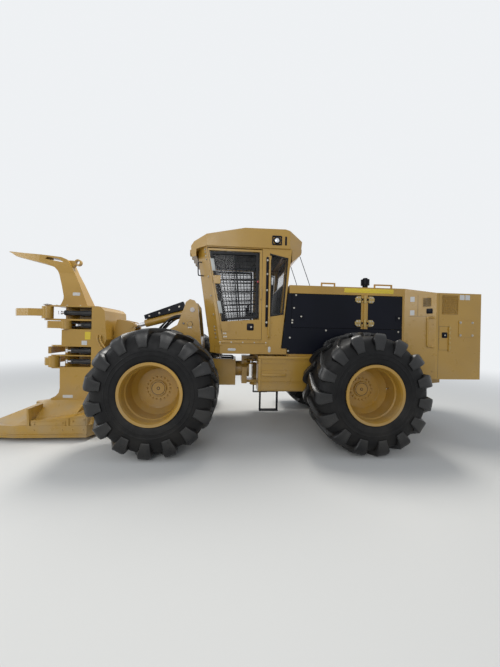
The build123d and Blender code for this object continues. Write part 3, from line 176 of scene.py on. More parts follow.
forward = Vector((
    -math.sin(camera_yaw) * math.cos(camera_pitch), -math.cos(camera_yaw) * math.cos(camera_pitch),
    math.sin(camera_pitch)
))
level_right = Vector((-math.cos(camera_yaw), math.sin(camera_yaw), 0))
level_up = level_right.cross(forward)
right = level_right * math.cos(camera_roll) + level_up * math.sin(camera_roll)
upward = level_up * math.cos(camera_roll) - level_right * math.sin(camera_roll)

clear()
bpy.ops.object.camera_add(location=camera_place)
camera = bpy.context.object
axes = Matrix((right, upward, -forward)).transposed().to_4x4()
camera.matrix_world = Matrix.Translation(camera_place) @ axes
camera.data.sensor_width = 36
camera.data.lens = 36 * focal_in_pixels / picture_height
camera.data.clip_end = 200
bpy.context.scene.camera = camera
print("camera lens", round(camera.data.lens, 2))

# %% [markdown]
# ## Floor and light
# The studio is a pale floor, a soft world and three large lamps. In the photograph the light falls from
# high behind the machine, so the top lamp is the strongest, and the side lamp is only bright enough to
# read the dark rubber. Far from the machine the floor takes the backdrop's own tone, so there is no
# horizon line, while the shadow under the machine stays. That tone is for the camera and for what metal
# and glass show of it; the light on the machine is dimmer.

# %% Floor and lamps
BACKDROP = (0.86, 0.88, 0.90, 1)
fade_start = 5.0
fade_end = 17.0


def link(tree, output, socket):
    tree.links.new(output, socket)


def fix(node, values):
    """Fixed values on a node's own sockets."""
    for name, value in values.items():
        node.inputs[name].default_value = value


def maths(tree, operation, first, second):
    """Two outputs combined by one operation."""
    node = tree.nodes.new("ShaderNodeMath")
    node.operation = operation
    link(tree, first, node.inputs[0])
    link(tree, second, node.inputs[1])
    return node.outputs[0]


def new_material(name):
    """A material, its node tree and its shader."""
    material = bpy.data.materials.new(name)
    material.use_nodes = True
    return material, material.node_tree, material.node_tree.nodes["Principled BSDF"]


def seen_rays(tree):
    """1 for the rays that show the backdrop: the camera's, and those mirrored by metal or through glass."""
    rays = tree.nodes.new("ShaderNodeLightPath")
    found = rays.outputs["Is Camera Ray"]
    for name in ("Is Glossy Ray", "Is Transmission Ray"):
        found = maths(tree, "MAXIMUM", found, rays.outputs[name])
    return found


def pale_floor():
    material, tree, shader = new_material("floor_pale")
    fix(shader, {"Base Color": (0.60, 0.60, 0.585, 1), "Roughness": 0.9})
    place = tree.nodes.new("ShaderNodeTexCoord")
    distance = tree.nodes.new("ShaderNodeVectorMath")
    distance.operation = "LENGTH"
    fade = tree.nodes.new("ShaderNodeMapRange")
    fade.interpolation_type = "SMOOTHSTEP"
    fix(fade, {"From Min": fade_start, "From Max": fade_end})
    glow = tree.nodes.new("ShaderNodeEmission")
    fix(glow, {"Color": BACKDROP})
    blend = tree.nodes.new("ShaderNodeMixShader")
    link(tree, place.outputs["Object"], distance.inputs[0])
    link(tree, distance.outputs["Value"], fade.inputs["Value"])
    link(tree, maths(tree, "MULTIPLY", fade.outputs["Result"], seen_rays(tree)), blend.inputs[0])
    link(tree, shader.outputs[0], blend.inputs[1])
    link(tree, glow.outputs[0], blend.inputs[2])
    link(tree, blend.outputs[0], tree.nodes["Material Output"].inputs["Surface"])
    return material


clear()
bpy.ops.mesh.primitive_plane_add(size=160, location=(0, 0, 0))
floor = bpy.context.object
floor.name = "floor"
floor.data.materials.append(pale_floor())

world = bpy.context.scene.world or bpy.data.worlds.new("world")
bpy.context.scene.world = world
world.use_nodes = True
tree = world.node_tree
tree.nodes.clear()
output = tree.nodes.new("ShaderNodeOutputWorld")
mixer = tree.nodes.new("ShaderNodeMixShader")
seen = tree.nodes.new("ShaderNodeBackground")
lit = tree.nodes.new("ShaderNodeBackground")
fix(seen, {"Color": BACKDROP})
fix(lit, {"Color": (0.86, 0.92, 1.0, 1), "Strength": 0.58})
link(tree, seen_rays(tree), mixer.inputs["Fac"])
link(tree, lit.outputs["Background"], mixer.inputs[1])
link(tree, seen.outputs["Background"], mixer.inputs[2])
link(tree, mixer.outputs["Shader"], output.inputs["Surface"])


def lamp(name, place, target, power, size, colour):
    clear()
    bpy.ops.object.light_add(type="AREA", location=place)
    light = bpy.context.object
    light.name = name
    light.data.energy = power
    light.data.size = size
    light.data.color = colour
    light.rotation_euler = (Vector(target) - Vector(place)).to_track_quat("-Z", "Y").to_euler()


lamp("lamp_top", (-1.0, -1.5, 9.0), (0, 0, 1), 640, 3, (1.0, 0.97, 0.92))
lamp("lamp_left", (2.5, 9.5, 5.0), (0, 0, 1.2), 240, 5, (1.0, 0.99, 0.97))
lamp("lamp_front", (9.0, 2.0, 4.5), (2, 0, 1.2), 150, 4, (0.95, 0.98, 1.0))
bpy.context.scene.view_settings.view_transform = "Standard"

# %% [markdown]
# ## Paint
# The machine is sprayed in one warm yellow over plates that are never quite flat. Three things make
# paint believable at this size: a slow drift of the colour from panel to panel, a fine ripple of the
# surface that breaks up reflections, and a film of dust that thickens towards the ground. All three
# are noise on Object coordinates, so they stay put on the steel when the machine moves.

# %% A maker for paint
dust_foot = 0.1
dust_top = 1.5
dust_most = 0.55


def noise(tree, scale, detail, stretch=(1, 1, 1)):
    """Noise on the piece's own coordinates; returns its factor output."""
    place = tree.nodes.new("ShaderNodeTexCoord")
    mapping = tree.nodes.new("ShaderNodeMapping")
    fix(mapping, {"Scale": stretch})
    texture = tree.nodes.new("ShaderNodeTexNoise")
    fix(texture, {"Scale": scale, "Detail": detail})
    link(tree, place.outputs["Object"], mapping.inputs["Vector"])
    link(tree, mapping.outputs["Vector"], texture.inputs["Vector"])
    return texture.outputs["Fac"]


def ramp(tree, factor, stops):
    """Colours or greys spread over a factor, as two (position, colour) stops."""
    node = tree.nodes.new("ShaderNodeValToRGB")
    for element, (position, colour) in zip(node.color_ramp.elements, stops):
        element.position = position
        element.color = colour
    link(tree, factor, node.inputs["Fac"])
    return node.outputs["Color"]


def mix(tree, factor, first, second):
    """Blends two colours; each is an output or a fixed colour."""
    node = tree.nodes.new("ShaderNodeMix")
    node.data_type = "RGBA"
    link(tree, factor, node.inputs["Factor"])
    for socket, value in (("A", first), ("B", second)):
        target = [i for i in node.inputs if i.name == socket and i.type == "RGBA"][0]
        if isinstance(value, tuple):
            target.default_value = value
        else:
            link(tree, value, target)
    return [o for o in node.outputs if o.type == "RGBA"][0]


def bump(tree, shader, height, strength, distance):
    node = tree.nodes.new("ShaderNodeBump")
    fix(node, {"Strength": strength, "Distance": distance})
    link(tree, height, node.inputs["Height"])
    link(tree, node.outputs["Normal"], shader.inputs["Normal"])


def grey(value):
    return (value, value, value, 1)


def roughen(tree, shader, texture, gloss, spread):
    """Roughness that drifts from gloss to gloss + spread."""
    rough = ramp(tree, texture, [(0.3, grey(gloss)), (0.7, grey(gloss + spread))])
    link(tree, rough, shader.inputs["Roughness"])


def low_dust(tree):
    """A patchy factor, strongest near the ground and gone at dust_top."""
    place = tree.nodes.new("ShaderNodeTexCoord")
    split = tree.nodes.new("ShaderNodeSeparateXYZ")
    spread = tree.nodes.new("ShaderNodeMapRange")
    link(tree, place.outputs["Object"], split.inputs["Vector"])
    link(tree, split.outputs["Z"], spread.inputs["Value"])
    fix(spread, {"From Min": dust_foot, "From Max": dust_top, "To Min": dust_most, "To Max": 0})
    patches = ramp(tree, noise(tree, 3.0, 8.0), [(0.40, grey(0)), (0.68, grey(1))])
    return maths(tree, "MULTIPLY", spread.outputs["Result"], patches)


def paint(name, light, dark, gloss, coat=0.25, ripple=0.12, dust=(0.30, 0.25, 0.18, 1), shine=0.5):
    material, tree, shader = new_material(name)
    drift = ramp(tree, noise(tree, 0.9, 3.0), [(0.35, dark), (0.65, light)])
    speckle = ramp(tree, noise(tree, 60.0, 6.0), [(0.62, grey(0)), (0.80, grey(0.35))])
    tinted = mix(tree, speckle, drift, tuple(0.72 * c for c in dark[:3]) + (1,))
    dusty = mix(tree, low_dust(tree), tinted, dust)
    link(tree, dusty, shader.inputs["Base Color"])
    roughen(tree, shader, noise(tree, 7.0, 6.0), gloss, 0.16)
    fix(shader, {"Specular IOR Level": shine, "Coat Weight": coat, "Coat Roughness": 0.12})
    bump(tree, shader, noise(tree, 26.0, 4.0), ripple, 0.002)
    return material


yellow = paint("machine_yellow", (0.430, 0.248, 0.036, 1), (0.365, 0.207, 0.028, 1), 0.25)
rim_paint = paint("rim_yellow", (0.420, 0.238, 0.034, 1), (0.355, 0.197, 0.026, 1), 0.28)
black = paint("panel_black", (0.006, 0.007, 0.013, 1), (0.004, 0.005, 0.009, 1), 0.30, coat=0.0,
    dust=(0.035, 0.032, 0.030, 1), shine=0.12)
dark = paint("chassis_dark", (0.030, 0.029, 0.028, 1), (0.016, 0.016, 0.016, 1), 0.55, coat=0.0,
    ripple=0.25)
engine_paint = paint("engine_grey", (0.14, 0.14, 0.135, 1), (0.09, 0.09, 0.09, 1), 0.50, coat=0.0,
    ripple=0.3)
print("paints", [m.name for m in (yellow, rim_paint, black, dark, engine_paint)])

# %% [markdown]
# ## Rubber, steel, glass and cloth
# Tyre rubber is nearly black, but its worn tops are polished while the sidewall is dull and a little
# dusty. Rods are chromed, pins and the saw disc are bare steel with brushed marks, and the cab's
# windows are dark tinted sheets.

# %% The other finishes
def rubber(name, dark_tone, light_tone, gloss, shine=0.3):
    material, tree, shader = new_material(name)
    base = ramp(tree, noise(tree, 5.0, 8.0), [(0.35, dark_tone), (0.75, light_tone)])
    dusty = mix(tree, low_dust(tree), base, (0.035, 0.032, 0.028, 1))
    fix(shader, {"Specular IOR Level": shine})
    link(tree, dusty, shader.inputs["Base Color"])
    roughen(tree, shader, noise(tree, 14.0, 6.0), gloss, 0.22)
    bump(tree, shader, noise(tree, 70.0, 8.0), 0.25, 0.002)
    return material


def steel(name, light, dark_tone, gloss, grain, ripple, metal=1.0):
    material, tree, shader = new_material(name)
    fix(shader, {"Metallic": metal})
    base = ramp(tree, noise(tree, 18.0, 8.0, grain), [(0.3, dark_tone), (0.7, light)])
    link(tree, base, shader.inputs["Base Color"])
    roughen(tree, shader, noise(tree, 30.0, 5.0, grain), gloss, 0.2)
    bump(tree, shader, noise(tree, 90.0, 4.0, grain), ripple, 0.001)
    return material


def tinted_glass(name, tint, alpha):
    material, tree, shader = new_material(name)
    smears = ramp(tree, noise(tree, 3.0, 5.0), [(0.3, grey(0.03)), (0.8, grey(0.10))])
    link(tree, smears, shader.inputs["Roughness"])
    fix(shader, {"Base Color": tint, "Alpha": alpha, "Specular IOR Level": 0.6})
    return material


def cloth(name, light, dark_tone):
    material, tree, shader = new_material(name)
    weave = noise(tree, 420.0, 2.0, (1.0, 1.0, 0.35))
    base = ramp(tree, weave, [(0.35, dark_tone), (0.65, light)])
    link(tree, base, shader.inputs["Base Color"])
    fix(shader, {"Roughness": 0.92, "Sheen Weight": 0.25})
    bump(tree, shader, weave, 0.4, 0.001)
    return material


tyre_rubber = rubber("tyre_rubber", (0.004, 0.004, 0.0045, 1), (0.010, 0.010, 0.0105, 1), 0.45, 0.2)
tread_rubber = rubber("tread_rubber", (0.004, 0.004, 0.0048, 1), (0.011, 0.0108, 0.0108, 1), 0.24, 0.50)
seal_rubber = rubber("seal_rubber", (0.006, 0.006, 0.007, 1), (0.012, 0.012, 0.013, 1), 0.35)
hose_rubber = rubber("hose_rubber", (0.010, 0.010, 0.011, 1), (0.022, 0.022, 0.023, 1), 0.38)
chrome = steel("rod_chrome", (0.78, 0.78, 0.80, 1), (0.62, 0.62, 0.64, 1), 0.08, (1, 1, 1), 0.03)
bare_steel = steel("worn_steel", (0.34, 0.32, 0.30, 1), (0.17, 0.15, 0.14, 1), 0.34, (1, 1, 5), 0.3)
zinc = steel("zinc_bolts", (0.52, 0.50, 0.45, 1), (0.33, 0.31, 0.27, 1), 0.30, (1, 1, 1), 0.1)
glass = tinted_glass("window_glass", (0.010, 0.013, 0.016, 1), 0.17)
guard_black = paint("guard_black", (0.012, 0.012, 0.013, 1), (0.007, 0.007, 0.008, 1), 0.42, coat=0.0)
pad_white = paint("pad_white", (0.52, 0.53, 0.50, 1), (0.40, 0.41, 0.39, 1), 0.40, coat=0.1)
pad_bronze = paint("hinge_casting", (0.47, 0.33, 0.10, 1), (0.36, 0.24, 0.07, 1), 0.36, coat=0.1)
plate_white = paint("blank_plate_white", (0.62, 0.62, 0.60, 1), (0.50, 0.50, 0.49, 1), 0.35, coat=0.2)
plate_yellow = paint("blank_plate_yellow", (0.70, 0.52, 0.020, 1), (0.60, 0.44, 0.016, 1), 0.32, coat=0.3)
knob_red = paint("knob_red", (0.45, 0.020, 0.030, 1), (0.32, 0.012, 0.018, 1), 0.35, coat=0.3)
lens_clear = steel("lamp_lens", (0.85, 0.86, 0.88, 1), (0.55, 0.56, 0.58, 1), 0.12, (1, 8, 1), 0.35, 0.7)
seat_cloth = cloth("seat_fabric", (0.035, 0.036, 0.040, 1), (0.015, 0.015, 0.018, 1))

finish_of_slot = {
    "machine_yellow": yellow, "rim_yellow": rim_paint, "panel_black": black, "chassis_dark": dark,
    "worn_steel": bare_steel, "rod_chrome": chrome, "tyre_rubber": tyre_rubber, "window_glass": glass,
    "seat_fabric": seat_cloth, "engine_grey": engine_paint,
}
slot_of_node = {entry["node"]: entry["material_slot"] for entry in frame["record"]["subparts"]}
for name, node in nodes.items():
    node.data.materials.clear()
    node.data.materials.append(finish_of_slot[slot_of_node[name]])
print("dressed", len(nodes), "parts")

# %% [markdown]
# ## Cutting plates, turning rings, bending pipe
# Most of what a fitter adds to such a machine is one of four things: a cut plate, a turned ring, a bent
# pipe or a bolt. Each has a small maker below. A plate starts as a filled circle whose corners are
# moved onto its outline, and is then extruded; a ring starts as an open circle whose corners are moved
# onto its section, and is then spun; a pipe is a path with a round bevel.

# %% Makers for plates, rings and pipes
LEFT = (Vector((1, 0, 0)), Vector((0, 0, 1)), Vector((0, 1, 0)))
RIGHT = (Vector((1, 0, 0)), Vector((0, 0, 1)), Vector((0, -1, 0)))
TOP = (Vector((1, 0, 0)), Vector((0, 1, 0)), Vector((0, 0, 1)))
FRONT = (Vector((0, 1, 0)), Vector((0, 0, 1)), Vector((1, 0, 0)))
BACK = (Vector((0, 1, 0)), Vector((0, 0, 1)), Vector((-1, 0, 0)))
SIDES = (("left", 1, LEFT), ("right", -1, RIGHT))


def outward_faces(piece):
    """Turns all faces of a piece outwards."""
    pick(piece)
    edit_all()
    bpy.ops.mesh.remove_doubles(threshold=0.00005)
    bpy.ops.mesh.normals_make_consistent(inside=False)
    leave_edit()


def laid(outline, plane, level, origin, fill):
    """The corners of an outline laid on a plane, filled or open."""
    across, up, outward = plane
    start = origin if origin is not None else at(0, 0, 0)
    clear()
    bpy.ops.mesh.primitive_circle_add(vertices=len(outline), fill_type=fill)
    piece = bpy.context.object
    for vertex, (a, b) in zip(piece.data.vertices, outline):
        vertex.co = start + across * a + up * b + outward * level
    return piece


def thickened(piece, plane, thickness, edge):
    """Gives the selected faces their thickness and, if asked, rounded edges."""
    bpy.ops.mesh.extrude_region_move(TRANSFORM_OT_translate={"value": plane[2] * thickness})
    leave_edit()
    outward_faces(piece)
    if edge:
        apply_modifier(piece, "BEVEL", width=edge, segments=2, limit_method="ANGLE")
    return piece


def plate(outline, plane, level, thickness, edge=0.002, origin=None):
    """A cut plate on a plane: (across, up, outward) directions, level metres along outward."""
    piece = laid(outline, plane, level, origin, "NGON")
    edit_all()
    return thickened(piece, plane, thickness, edge)


def oblong(a0, b0, a1, b1, corner, steps=3):
    """The outline of a rectangle, with round corners if asked."""
    if not corner:
        return [(a0, b0), (a1, b0), (a1, b1), (a0, b1)]
    points = []
    centres = ((a1 - corner, b0 + corner, -90), (a1 - corner, b1 - corner, 0),
        (a0 + corner, b1 - corner, 90), (a0 + corner, b0 + corner, 180))
    for x, y, turn in centres:
        for step in range(steps + 1):
            angle = math.radians(turn + 90 * step / steps)
            points.append((x + corner * math.cos(angle), y + corner * math.sin(angle)))
    return points


def panels(plane, rows, origin=None):
    """Rectangular plates, from rows of a0, b0, a1, b1, corner, level, thickness and, if given, edge."""
    return [plate(oblong(*row[:5]), plane, *row[5:], origin=origin) for row in rows]


def frame_plate(outer, inner, plane, level, thickness, edge=0.002, origin=None):
    """A plate with a window: two outlines with the same number of corners, bridged."""
    loops = [laid(outline, plane, level, origin, "NOTHING") for outline in (outer, inner)]
    piece = joined(loops, "window_frame")
    edit_all()
    bpy.ops.mesh.bridge_edge_loops()
    bpy.ops.mesh.select_all(action="SELECT")
    return thickened(piece, plane, thickness, edge)


def spun(section, steps):
    """A ring about the Y axis: the section's points are (y, radius)."""
    piece = laid(section, FRONT, 0, Vector(), "NOTHING")
    edit_all()
    bpy.ops.mesh.spin(steps=steps, angle=2 * math.pi, center=(0, 0, 0), axis=(0, 1, 0))
    leave_edit()
    outward_faces(piece)
    return piece


def pipe(points, radius, bends=True, sides=4):
    """A round bar or hose along points; bends rounds the corners into one smooth line."""
    clear()
    bpy.ops.curve.primitive_nurbs_path_add()
    piece = bpy.context.object
    curve = piece.data
    curve.splines.clear()
    line = curve.splines.new("NURBS" if bends else "POLY")
    line.points.add(len(points) - 1)
    for knot, point in zip(line.points, points):
        knot.co = (*point, 1)
    if bends:
        line.order_u = 3
        line.use_endpoint_u = True
        line.resolution_u = 6
    curve.bevel_depth = radius
    curve.bevel_resolution = sides
    curve.use_fill_caps = True
    bpy.ops.object.convert(target="MESH")
    piece = bpy.context.object
    outward_faces(piece)
    return piece


def run(points, radius, bends=True, sides=4):
    """A pipe along places counted from the centre pin."""
    return pipe([at(*point) for point in points], radius, bends, sides)


def bar(start, end, radius, sides=4):
    """A straight round bar between two places counted from the centre pin."""
    return run((start, end), radius, False, sides)


def at_side(y, places):
    """Places at one distance from the middle, from (x, z) pairs."""
    return [at(x, y, z) for x, z in places]


def bolt_head(radius, height):
    """A six-sided head on a washer, standing on the origin along +Z."""
    clear()
    bpy.ops.mesh.primitive_cylinder_add(vertices=6, radius=radius, depth=height,
        location=(0, 0, height * 0.75))
    head = bpy.context.object
    bpy.ops.object.mode_set(mode="EDIT")
    bpy.ops.mesh.select_mode(type="FACE")
    bpy.ops.mesh.select_all(action="DESELECT")
    leave_edit()
    for face in head.data.polygons:
        face.select = face.normal.z > 0.9
    bpy.ops.object.mode_set(mode="EDIT")
    bpy.ops.mesh.inset(thickness=radius * 0.16, depth=height * 0.12)
    leave_edit()
    clear()
    bpy.ops.mesh.primitive_cylinder_add(vertices=12, radius=radius * 1.5, depth=height * 0.3,
        location=(0, 0, height * 0.12))
    washer = bpy.context.object
    apply_modifier(washer, "BEVEL", width=height * 0.08, segments=1, limit_method="ANGLE")
    settle(head)
    settle(washer)
    return joined([head, washer], "bolt_head")


def bolts(name, body, spots, direction, radius, height, finish=None):
    """Bolt heads on spots, all looking one way, as one piece."""
    placed = [(spot, direction) for spot in spots]
    return done(copies(bolt_head(radius, height), placed, name), name, body, finish or zinc)


def mirrored(piece):
    """Adds the same shape on the machine's other side."""
    apply_modifier(piece, "MIRROR", use_axis=(False, True, False), use_mirror_merge=False)
    outward_faces(piece)
    return piece


def fitted(pieces, name, body, finish, smooth=None):
    """Joins pieces into one and finishes it."""
    return done(joined(pieces, name), name, body, finish, smooth)


def fitted_both(pieces, name, body, finish, smooth=None):
    """Joins pieces, adds their mirror image, and finishes them as one."""
    return done(mirrored(joined(pieces, name)), name, body, finish, smooth)


def bolts_each_side(name, body, spots, direction, *sizes):
    """Bolts on the left and their mirror image on the right, as two pieces."""
    for side, sign, plane in SIDES:
        placed = [Vector((spot.x, sign * spot.y, spot.z)) for spot in spots]
        aim = (direction[0], sign * direction[1], direction[2])
        bolts(f"{name}_{side}", body, placed, aim, *sizes)


# The levels that pieces are fitted at. Most lie about half a millimetre inside the CAD part's wall, so that
# the pieces are seated. The window's face is that of its seal.
cab_side = 0.7195
enclosure_side = 0.7495
head_side = 0.4495
tank_side = 0.7995
housing_side = 0.8575
tail_side = 0.9995
shelf_top = 2.2115
hood_top = 2.6396
window_face = 0.7265
roof_side = 0.7445
tower_side = 0.2895
print("makers ready")

# %% [markdown]
# ## The tyres
# A forestry tyre carries its tread on a round, bulging carcass. The carcass is one section spun about
# the axle: bead, two thin rings on the sidewall, the bulge, the shoulder and a slightly crowned top.

# %% Spin the carcass
half_section = [
    (0.351, 0.4190), (0.351, 0.452), (0.362, 0.466), (0.370, 0.500), (0.3745, 0.532), (0.3795, 0.537),
    (0.3800, 0.548), (0.3755, 0.554), (0.3755, 0.590), (0.3795, 0.596), (0.3790, 0.604), (0.3735, 0.610),
    (0.367, 0.660), (0.352, 0.728), (0.328, 0.786), (0.296, 0.826), (0.240, 0.850), (0.130, 0.860),
]
section = half_section + [(-y, radius) for y, radius in reversed(half_section)]
carcass = spun(section, steps=90)
print("carcass faces", len(carcass.data.polygons))

# %% [markdown]
# ## The lugs
# Each lug is a curved bar of rubber. It starts at the middle of the tread, sweeps forward to the
# shoulder, turns over it and runs down the sidewall, where it thins out. A flat grid is laid along that
# path, its rim is drawn in to the carcass wider than the top, and the edges are rounded. Fifteen copies
# go round each side, and the far row is turned half a step, as on the real tread.

# %% Shape one lug
# Each row: turn about the axle in degrees, y, radius, half width at the top and foot, and how far the
# foot lies inwards along y and along the radius.
lug_rows = [
    (-17.0, -0.012, 0.9195, 0.038, 0.052, 0.000, 0.072), (-13.5, 0.060, 0.9195, 0.040, 0.054, 0.000, 0.072),
    (-9.5, 0.140, 0.9190, 0.043, 0.060, 0.000, 0.072), (-5.5, 0.220, 0.9165, 0.049, 0.070, 0.000, 0.075),
    (-2.2, 0.288, 0.9110, 0.060, 0.085, 0.010, 0.080), (-0.4, 0.333, 0.8980, 0.076, 0.104, 0.030, 0.075),
    (0.6, 0.362, 0.8700, 0.088, 0.116, 0.050, 0.050), (1.0, 0.3785, 0.8300, 0.088, 0.112, 0.055, 0.025),
    (1.0, 0.3865, 0.7800, 0.078, 0.096, 0.050, 0.005), (1.0, 0.3870, 0.7250, 0.066, 0.080, 0.035, 0.000),
    (1.0, 0.3865, 0.6850, 0.059, 0.070, 0.025, 0.000), (1.0, 0.3860, 0.6550, 0.056, 0.064, 0.018, 0.000),
]


def on_tyre(turn, y, radius):
    angle = math.radians(turn)
    return Vector((radius * math.sin(angle), y, radius * math.cos(angle)))


across_count = 4
clear()
bpy.ops.mesh.primitive_grid_add(x_subdivisions=across_count, y_subdivisions=len(lug_rows) - 1, size=2)
lug = bpy.context.object
for vertex in lug.data.vertices:
    row = round((vertex.co.y + 1) / 2 * (len(lug_rows) - 1))
    turn, y, radius, half_top, half_foot, foot_y, foot_radius = lug_rows[row]
    sag = 0.004 * (1 - vertex.co.x ** 2)
    spread = math.degrees(half_top * vertex.co.x / radius)
    vertex.co = on_tyre(turn + spread, y - (sag if radius < 0.88 else 0),
        radius - (sag if radius >= 0.88 else 0))
edit_all()
bpy.ops.mesh.extrude_region_move(TRANSFORM_OT_translate={"value": (0, 0, 0)})
leave_edit()
feet = [vertex for vertex in lug.data.vertices if vertex.select]
for index, vertex in enumerate(feet):
    row = index // (across_count + 1)
    share = (index % (across_count + 1)) / across_count * 2 - 1
    turn, y, radius, half_top, half_foot, foot_y, foot_radius = lug_rows[row]
    spread = math.degrees(half_foot * share / radius)
    vertex.co = on_tyre(turn + spread, y - foot_y, radius - foot_radius)
outward_faces(lug)
apply_modifier(lug, "BEVEL", width=0.007, segments=2, limit_method="ANGLE", angle_limit=math.radians(50))
print("lug faces", len(lug.data.polygons))

# %% Set the lugs round the carcass and fit the four tyres
lug_count = 15
pitch = 360 / lug_count


def turned(master, degrees, flip_side=False):
    """A copy of a master turned about the axle, on the other side of the tread if asked."""
    turn = Matrix.Rotation(math.radians(degrees), 4, "Y")
    if flip_side:
        turn = turn @ Matrix.Diagonal((1, -1, 1, 1))
    return twin(master, turn)


rows = [turned(lug, index * pitch) for index in range(lug_count)]
rows += [turned(lug, (index + 0.5) * pitch, True) for index in range(lug_count)]
tread = joined(rows, "tread_master")
outward_faces(tread)
bpy.data.objects.remove(lug)

for end, x, phase in (("front", axle_x, 7.5), ("rear", -axle_x, -4.0)):
    for side, sign, plane in SIDES:
        for master, name, finish, smooth in (
            (carcass, "carcass", tyre_rubber, 30), (tread, "tread", tread_rubber, 32),
        ):
            piece = turned(master, phase, sign < 0)
            outward_faces(piece)
            piece.location = at(x, sign * wheel_y, wheel_z)
            done(piece, f"tyre_{name}_{end}_{side}", f"wheel_{end}_{side}", finish, smooth)
            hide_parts(f"tyre_{end}_{side}")
for master in (carcass, tread):
    bpy.data.objects.remove(master)
print("tyres fitted", lug_count * 2, "lugs each")

# %% [markdown]
# ## Inside the rims
# Deep in each rim a ring of studs holds the wheel to its hub, a weld bead runs round the disc, a groove
# separates the hub's cap from its flange, and the valve looks out of the well. They are spun rings and
# copied studs, set on the faces of the CAD rim.

# %% Studs, beads and valves
disc_y = -0.070
cap_y = -0.048
stud_count = 18
stud_circle = 0.171
bead_corners = 8
wheel_rings = (("disc_beads", disc_y, rim_paint, ((0.300, 0.006), (0.126, 0.005))),
    ("cap_groove", cap_y, dark, ((0.098, 0.004), (0.020, 0.005))))


def round_bead(radius, thick):
    """A thin round ring at a radius."""
    turns = [2 * math.pi * i / bead_corners for i in range(bead_corners)]
    return spun([(thick * math.sin(turn), radius + thick * math.cos(turn)) for turn in turns], steps=60)


for end, x in (("front", axle_x), ("rear", -axle_x)):
    for side, sign, plane in SIDES:
        centre = at(x, sign * wheel_y, wheel_z)
        body = f"wheel_{end}_{side}"
        outward = Vector((0, sign, 0))
        disc = centre + outward * disc_y
        turns = [2 * math.pi * index / stud_count for index in range(stud_count)]
        spots = [disc + Vector((stud_circle * math.cos(turn), 0, stud_circle * math.sin(turn)))
            for turn in turns]
        bolts(f"wheel_studs_{end}_{side}", body, spots, outward, 0.012, 0.016, rim_paint)
        for name, level, finish, sizes in wheel_rings:
            ring = joined([round_bead(radius, thick) for radius, thick in sizes], name)
            ring.location = centre + outward * level
            done(ring, f"{name}_{end}_{side}", body, finish, 60)
        foot = centre + outward * 0.09 + Vector((-0.366, 0, 0.05))
        valve = pipe([foot, foot + Vector((0.03, 0, -0.004)), foot + Vector((0.05, sign * 0.02, -0.008))],
            0.008)
        done(valve, f"valve_{end}_{side}", body, zinc, 40)
print("wheels finished")

# %% [markdown]
# ## The cab door's window
# The window is glued into a broad black seal, and a wire guard stands behind it. The guard starts as a
# flat grid pulled to the window's leaning shape; the Wireframe modifier turns every line of the grid
# into a wire. Flat bars cross it. All of it swings with the door, so it rides on the door's body, and
# the window on the other side gets the same pieces on the cab.

# %% Seal, wire guard and bars
def shifted_outline(outline, inset):
    """The outline moved inwards (or outwards, if negative) towards its middle."""
    centre_a = sum(a for a, b in outline) / len(outline)
    centre_b = sum(b for a, b in outline) / len(outline)
    moved = []
    for a, b in outline:
        moved.append((a - math.copysign(inset, a - centre_a), b - math.copysign(inset, b - centre_b)))
    return moved


def wire_guard(corners, plane, level, columns, rows, wire):
    """A wire mesh between four corners: low front, high front, high rear, low rear."""
    across, up, outward = plane
    low_front, high_front, high_rear, low_rear = [Vector(corner) for corner in corners]
    clear()
    bpy.ops.mesh.primitive_grid_add(x_subdivisions=columns, y_subdivisions=rows, size=2)
    piece = bpy.context.object
    for vertex in piece.data.vertices:
        u = (vertex.co.x + 1) / 2
        v = (vertex.co.y + 1) / 2
        a, b = (low_front * (1 - u) + low_rear * u) * (1 - v) + (high_front * (1 - u) + high_rear * u) * v
        vertex.co = at(0, 0, 0) + across * a + up * b + outward * level
    apply_modifier(piece, "WIREFRAME", thickness=wire, use_even_offset=False)
    return piece


guard_columns = 12
guard_rows = 18
guard_wire = 0.014
guard_level = 0.672
bar_half = 0.012
door_window = [(0.684, 1.978), (0.918, 3.200), (0.040, 3.200), (0.036, 2.027)]


def between(low, high, share):
    return (low[0] + (high[0] - low[0]) * share, low[1] + (high[1] - low[1]) * share)


for plane, body, side in ((LEFT, "cab_door", "left"), (RIGHT, "chassis", "right")):
    seal = frame_plate(shifted_outline(door_window, -0.020), shifted_outline(door_window, 0.060), plane,
        cab_side, 0.007)
    done(seal, f"door_window_seal_{side}", body, seal_rubber, 30)
    opening = shifted_outline(door_window, 0.030)
    guard = wire_guard(opening, plane, guard_level, guard_columns, guard_rows, guard_wire)
    done(guard, f"wire_guard_{side}", body, guard_black)
    low_front, high_front, high_rear, low_rear = opening
    bars = []
    for share in (0.22, 0.42, 0.60, 0.78):
        a, b = between(low_front, high_front, share)
        c, d = between(low_rear, high_rear, share)
        flat = [(a, b - bar_half), (a, b + bar_half), (c, d + bar_half), (c, d - bar_half)]
        bars.append(plate(flat, plane, 0.659, 0.010))
    a, b = between(low_front, low_rear, 0.5)
    c, d = between(high_front, high_rear, 0.5)
    upright = [(a - bar_half, b), (c - bar_half, d), (c + bar_half, d), (a + bar_half, b)]
    bars.append(plate(upright, plane, 0.655, 0.010))
    bars.append(frame_plate(opening, shifted_outline(opening, 0.035), plane, 0.655, 0.014))
    fitted(bars, f"guard_bars_{side}", body, guard_black, 30)
print("guards fitted")

# %% [markdown]
# ## Fittings on the cab
# Two pale pads hinge the glass, a square black paddle opens the door, and behind the door a black strip
# with studs and a yellow grab rail run the height of the cab. Bolts hold the front pillar to the
# frame. Each is a plate or a bent bar, placed by reading the photograph along the cab's own surface.

